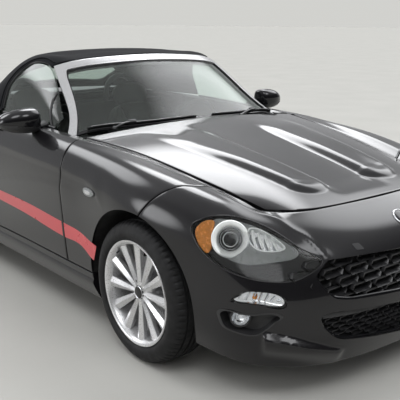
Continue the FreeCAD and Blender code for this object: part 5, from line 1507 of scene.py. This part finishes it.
def plumped(piece, cap):
    """Swells a pad as stuffed leather does, by a short cloth run, and limits how far it moves."""
    even = piece.modifiers.new("even", "REMESH")
    even.mode = "VOXEL"
    even.voxel_size = 0.008
    baked(piece)
    start = np.array([v.co for v in piece.data.vertices])
    settings = piece.modifiers.new("swell", "CLOTH").settings
    settings.use_pressure = True
    settings.uniform_pressure_force = 4.0
    settings.quality = 4
    settings.effector_weights.gravity = 0.0
    for frame_number in range(1, 21):
        scene.frame_set(frame_number)
    baked(piece)
    moves = np.array([v.co for v in piece.data.vertices]) - start
    length = np.linalg.norm(moves, axis=1, keepdims=True)
    moves *= np.minimum(1, cap / np.maximum(length, 1e-9))
    piece.data.vertices.foreach_set("co", (start + moves).ravel())
    piece.data.update()
    scene.frame_set(1)


def channels(u, v):
    """Raised wings and sewn channels of a seat pad."""
    edge = np.exp(-((np.abs(u) - 0.56) / 0.035) ** 2)
    bars = np.exp(-(((v * 3.2 + 0.5) % 1 - 0.5) / 0.07) ** 2) * (np.abs(u) < 0.56)
    wings = 0.034 * smooth((np.abs(u) - 0.58) / 0.3)
    return wings - 0.009 * edge - 0.004 * bars * (np.abs(v) < 0.85)


def make_seats():
    """Crowned, stuffed seat pads with sewn channels, head pads and their frames."""
    x = DRIVER_X
    upright = Matrix.Rotation(math.radians(-16), 4, "X") @ Matrix.Rotation(math.pi / 2, 4, "X")
    plans = (("seat_cushion", (0.455, 0.49, 0.14), (x, 0.284, 0.315), Matrix(), 4.0, channels, 0.8, []),
             ("seat_back", (0.455, 0.59, 0.12), (x, 0.53, 0.575), upright, 3.4, channels, 0.8, ["seats"]),
             ("headrest", (0.25, 0.16, 0.08), (x, 0.655, 0.905), upright, 2.8, None, 0.9, []))
    for name, size, centre, turn, power, detail, fill, replaced in plans:
        piece = pad(name + "_left", size, Matrix.Translation(centre) @ turn, power, detail)
        plumped(piece, 0.006)
        dressed(piece, LEATHER, 60)
        for thing, nodes in ((piece, replaced), (twin(piece, name + "_right"), [])):
            done(thing, "body", nodes)
    stand = Cluster()
    stand.add(box("base", (x - 0.20, 0.06, 0.17), (x + 0.20, 0.50, 0.255), 0.02), TRIM, 40)
    for side in (-0.17, 0.17):
        stand.add(box("rail", (x + side - 0.02, 0.02, 0.158), (x + side + 0.02, 0.52, 0.18), 0.004), TRIM, 40)
    for side in (-0.05, 0.05):
        post = [(x + side, 0.60, 0.79), (x + side, 0.622, 0.85), (x + side, 0.645, 0.9)]
        stand.add(sweep("post", post, 0.006, 12), TRIM, 40)
    both(stand.join("seat_frame_left"), "body", "cabin_plastic")


def make_dashboard():
    """Dashboard with a hood over the dials, round vents, dials and a screen."""
    rings = []
    for x in np.linspace(-0.62, 0.62, 61):
        hood = 0.035 * math.exp(-((x - DRIVER_X) / 0.17) ** 2)
        bow = 0.018 * (1 - (x / 0.62) ** 2)
        outline = [(-0.506, 0.575), (-0.505, 0.72), (-0.46, 0.772 + bow), (-0.36, 0.792 + bow + hood * 0.6),
                   (-0.25, 0.782 + bow + hood), (-0.195, 0.765 + bow + hood), (-0.178, 0.735),
                   (-0.186, 0.69), (-0.170, 0.665), (-0.196, 0.60), (-0.22, 0.575)]
        rings.append([(x, y, z) for y, z in smooth_loop(outline, 34)])
    dash = Cluster()
    dash.add(loft("body", rings), TRIM, 40)
    for x in (-0.54, -0.07, 0.07, 0.54):
        dash.add(facing(ring("vent", 34, 5, 40, 10), (x, -0.174, 0.715), (0, 1, 0.05)), HOOP)
        core = turned("vent_core", [(-6, 0.01), (-6, 30), (0, 30), (2, 18), (3, 0.01)], 32)
        dash.add(facing(core, (x, -0.178, 0.715), (0, 1, 0.05)), BLACK_SATIN)
    dash.add(box("screen", (-0.085, -0.225, 0.80), (0.085, -0.212, 0.893), 0.004), BLACK_GLOSS)
    for dx, radius in ((-0.085, 40), (0.0, 52), (0.085, 40)):
        dash.add(facing(ring("dial", radius, 3, 48, 8), (DRIVER_X + dx, -0.198, 0.775), (0, 1, 0.35)), HOOP)
    done(dash.join("dashboard_cover"), "body", ["dashboard"])


def make_steering_wheel():
    """Three-spoke wheel with a leather rim."""
    tilt = math.radians(22)
    wheel = Cluster((DRIVER_X, -0.026, 0.77), (0, math.cos(tilt), math.sin(tilt)))
    wheel.face(ring("rim", 170, 14, 96, 16), LEATHER, 60)
    wheel.face(turned("hub", [(-28, 0.01), (-28, 58), (-8, 60), (4, 52), (9, 34), (11, 0.01)], 48), TRIM, 40)
    for degrees in (172, 8, -90):
        angle = math.radians(degrees)
        direction = Vector((0, math.cos(angle), math.sin(angle)))
        path = [direction * 0.04 + Vector((-0.008, 0, 0)), direction * 0.10 + Vector((-0.004, 0, 0)),
                direction * 0.165]
        wheel.face(sweep("spoke", path, lambda t: 0.02 - 0.006 * t, 14, 0.4), HOOP, 40)
    done(wheel.join("steering_wheel_cover"), "steering_wheel", ["steering_wheel"])


def make_inner_mirror():
    """Interior mirror hanging from the screen's upper middle."""
    mirror = Cluster()
    rings = ellipsoid_rings((0, -0.01, 1.108), (0.235, 0.032, 0.068), 3.0, 20, 36)
    mirror.add(loft("shell", rings), BLACK_SATIN, 40)
    stalk = [(0, -0.01, 1.115), (0, -0.03, 1.145), (0, -0.075, 1.172)]
    mirror.add(sweep("stalk", stalk, 0.009), BLACK_SATIN)
    done(mirror.join("inner_mirror"), "body")


# Nodes that stay, floor, light and camera

def dress_nodes():
    """Materials of the CAD nodes that stay visible."""
    choice = {
        "brake_disc": STEEL, "driveline": CAST, "exhaust": PIPE, "firewall": UNDERBODY,
        "floor_tub": UNDERBODY, "front_subframe": CAST, "hinges": CAST, "knuckle": CAST, "rails": UNDERBODY,
        "rear_bulkhead": TRIM, "rear_subframe": CAST, "roll_hoops": HOOP, "steering_column": TRIM,
        "wheelhouses": LINER, "console": TRIM,
    }
    for name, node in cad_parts.items():
        for start, shader in choice.items():
            if name.startswith(start):
                for slot in node.material_slots:
                    slot.material = shader.material


def soft_lamp(name, place, target, wide, high, power):
    """Rectangular soft light that doesn't show in reflections."""
    data = bpy.data.lights.new(name, "AREA")
    data.shape = "RECTANGLE"
    data.size, data.size_y = wide, high
    data.energy = power
    lamp = bpy.data.objects.new(name, data)
    lamp.location = place
    lamp.visible_glossy = False
    lamp.rotation_euler = (Vector(target) - lamp.location).to_track_quat("-Z", "Y").to_euler()
    scene.collection.objects.link(lamp)


def make_floor():
    """Pale floor that runs far behind the car."""
    steps, radii = 96, (0.01, 2, 4, 8, 16, 40, 120)
    verts = [(x, y, 0) for radius in radii for x, y in circle(radius, steps)]
    mesh = bpy.data.meshes.new("studio_floor")
    mesh.from_pydata(verts, [], [tuple(range(steps))] + band_faces(len(radii), steps))
    floor = link("studio_floor", mesh)
    floor.data.materials.append(FLOOR.material)


GLOWS = (((0.74, 0.14, 0.65), 0.92, 0.985, 3.6), ((0.45, 0.57, 0.69), 0.962, 0.992, 7.5),
         ((-0.25, 0.76, 0.60), 0.96, 0.992, 5.0), ((-0.82, 0.50, 0.24), 0.965, 0.995, 5.5),
         ((-0.38, -0.33, 0.86), 0.955, 0.99, 5.5),
         ((0.14, -0.60, 0.79), 0.972, 0.995, 6.0))


def make_world():
    """Soft light from above and behind the car with a few broad glows, and a pale background for
    what the camera sees."""
    world = bpy.data.worlds.new("studio")
    scene.world = world
    world.use_nodes = True
    tree = world.node_tree
    for node in list(tree.nodes):
        tree.nodes.remove(node)

    def node(kind, *sources, **options):
        made = tree.nodes.new("ShaderNode" + kind)
        for key, value in options.items():
            setattr(made, key, value)
        for i, source in enumerate(sources):
            tree.links.new(source, made.inputs[i])
        return made

    def spread(source, low, high, least, most):
        """Smooth rise from least to most between two values of the source."""
        part = node("MapRange", source, interpolation_type="SMOOTHSTEP")
        for name, value in zip(("From Min", "From Max", "To Min", "To Max"), (low, high, least, most)):
            part.inputs[name].default_value = value
        return part.outputs["Result"]

    place = node("TexCoord").outputs["Generated"]
    split = node("SeparateXYZ", place)
    behind = spread(split.outputs["Y"], -0.30, 0.40, 0.05, 0.50)
    above = spread(split.outputs["Z"], 0.30, 0.85, 0.05, 0.70)
    total = node("Math", behind, above, operation="MAXIMUM").outputs[0]
    for direction, low, high, most in GLOWS:
        aligned = node("VectorMath", place, operation="DOT_PRODUCT")
        aligned.inputs[1].default_value = Vector(direction).normalized()
        total = node("Math", total, spread(aligned.outputs["Value"], low, high, 0.0, most),
                     operation="ADD").outputs[0]
    light = node("Background")
    light.inputs["Color"].default_value = (0.97, 0.98, 1.0, 1)
    tree.links.new(total, light.inputs["Strength"])
    pale = node("Background")
    pale.inputs["Color"].default_value = (0.64, 0.64, 0.615, 1)
    path = node("LightPath")
    seen = node("Math", path.outputs["Is Camera Ray"], path.outputs["Is Transmission Ray"],
                operation="MAXIMUM")
    mix = node("MixShader", seen.outputs[0], light.outputs[0], pale.outputs[0])
    node("OutputWorld", mix.outputs[0])


def make_camera():
    """Camera set so that wheels, lamps and roof fall where the photograph has them."""
    data = bpy.data.cameras.new("camera")
    data.lens, data.sensor_width = 64.825, 36
    data.sensor_fit = "HORIZONTAL"
    data.shift_x, data.shift_y = -0.1062, 0.0334
    camera = bpy.data.objects.new("camera", data)
    scene.collection.objects.link(camera)
    scene.camera = camera
    place = (-2.38067, -3.54805, 1.42052)
    yaw, pitch, roll = 0.7322909, -0.2658384, 0.0079573
    right = Vector((math.cos(yaw), -math.sin(yaw), 0))
    ahead = Vector((math.sin(yaw) * math.cos(pitch), math.cos(yaw) * math.cos(pitch), math.sin(pitch)))
    up = right.cross(ahead)
    across = math.cos(roll) * right + math.sin(roll) * up
    above = math.cos(roll) * up - math.sin(roll) * right
    camera.matrix_world = axes(across, above, -ahead, place)


for make in (make_sides, make_doors, make_bumpers, make_top, make_screen, make_top_cover,
             make_door_glass, make_top_seams, make_headlamp, make_low_lamps, make_grilles, make_tail,
             make_wheels, make_mirrors, make_wipers, make_handles, make_stripes, make_small_lamps,
             make_badge, make_nose_cover, make_tail_trim, make_engine, make_seats, make_dashboard,
             make_steering_wheel, make_inner_mirror, dress_nodes, make_floor, make_world, make_camera):
    make()
soft_lamp("overhead", (0, -0.5, 4.5), (0, -0.5, 0), 3.0, 6.0, 14)
soft_lamp("camera_side", (-5.5, -5.5, 3.6), (0, 0, 0.3), 4.5, 3.0, 75)
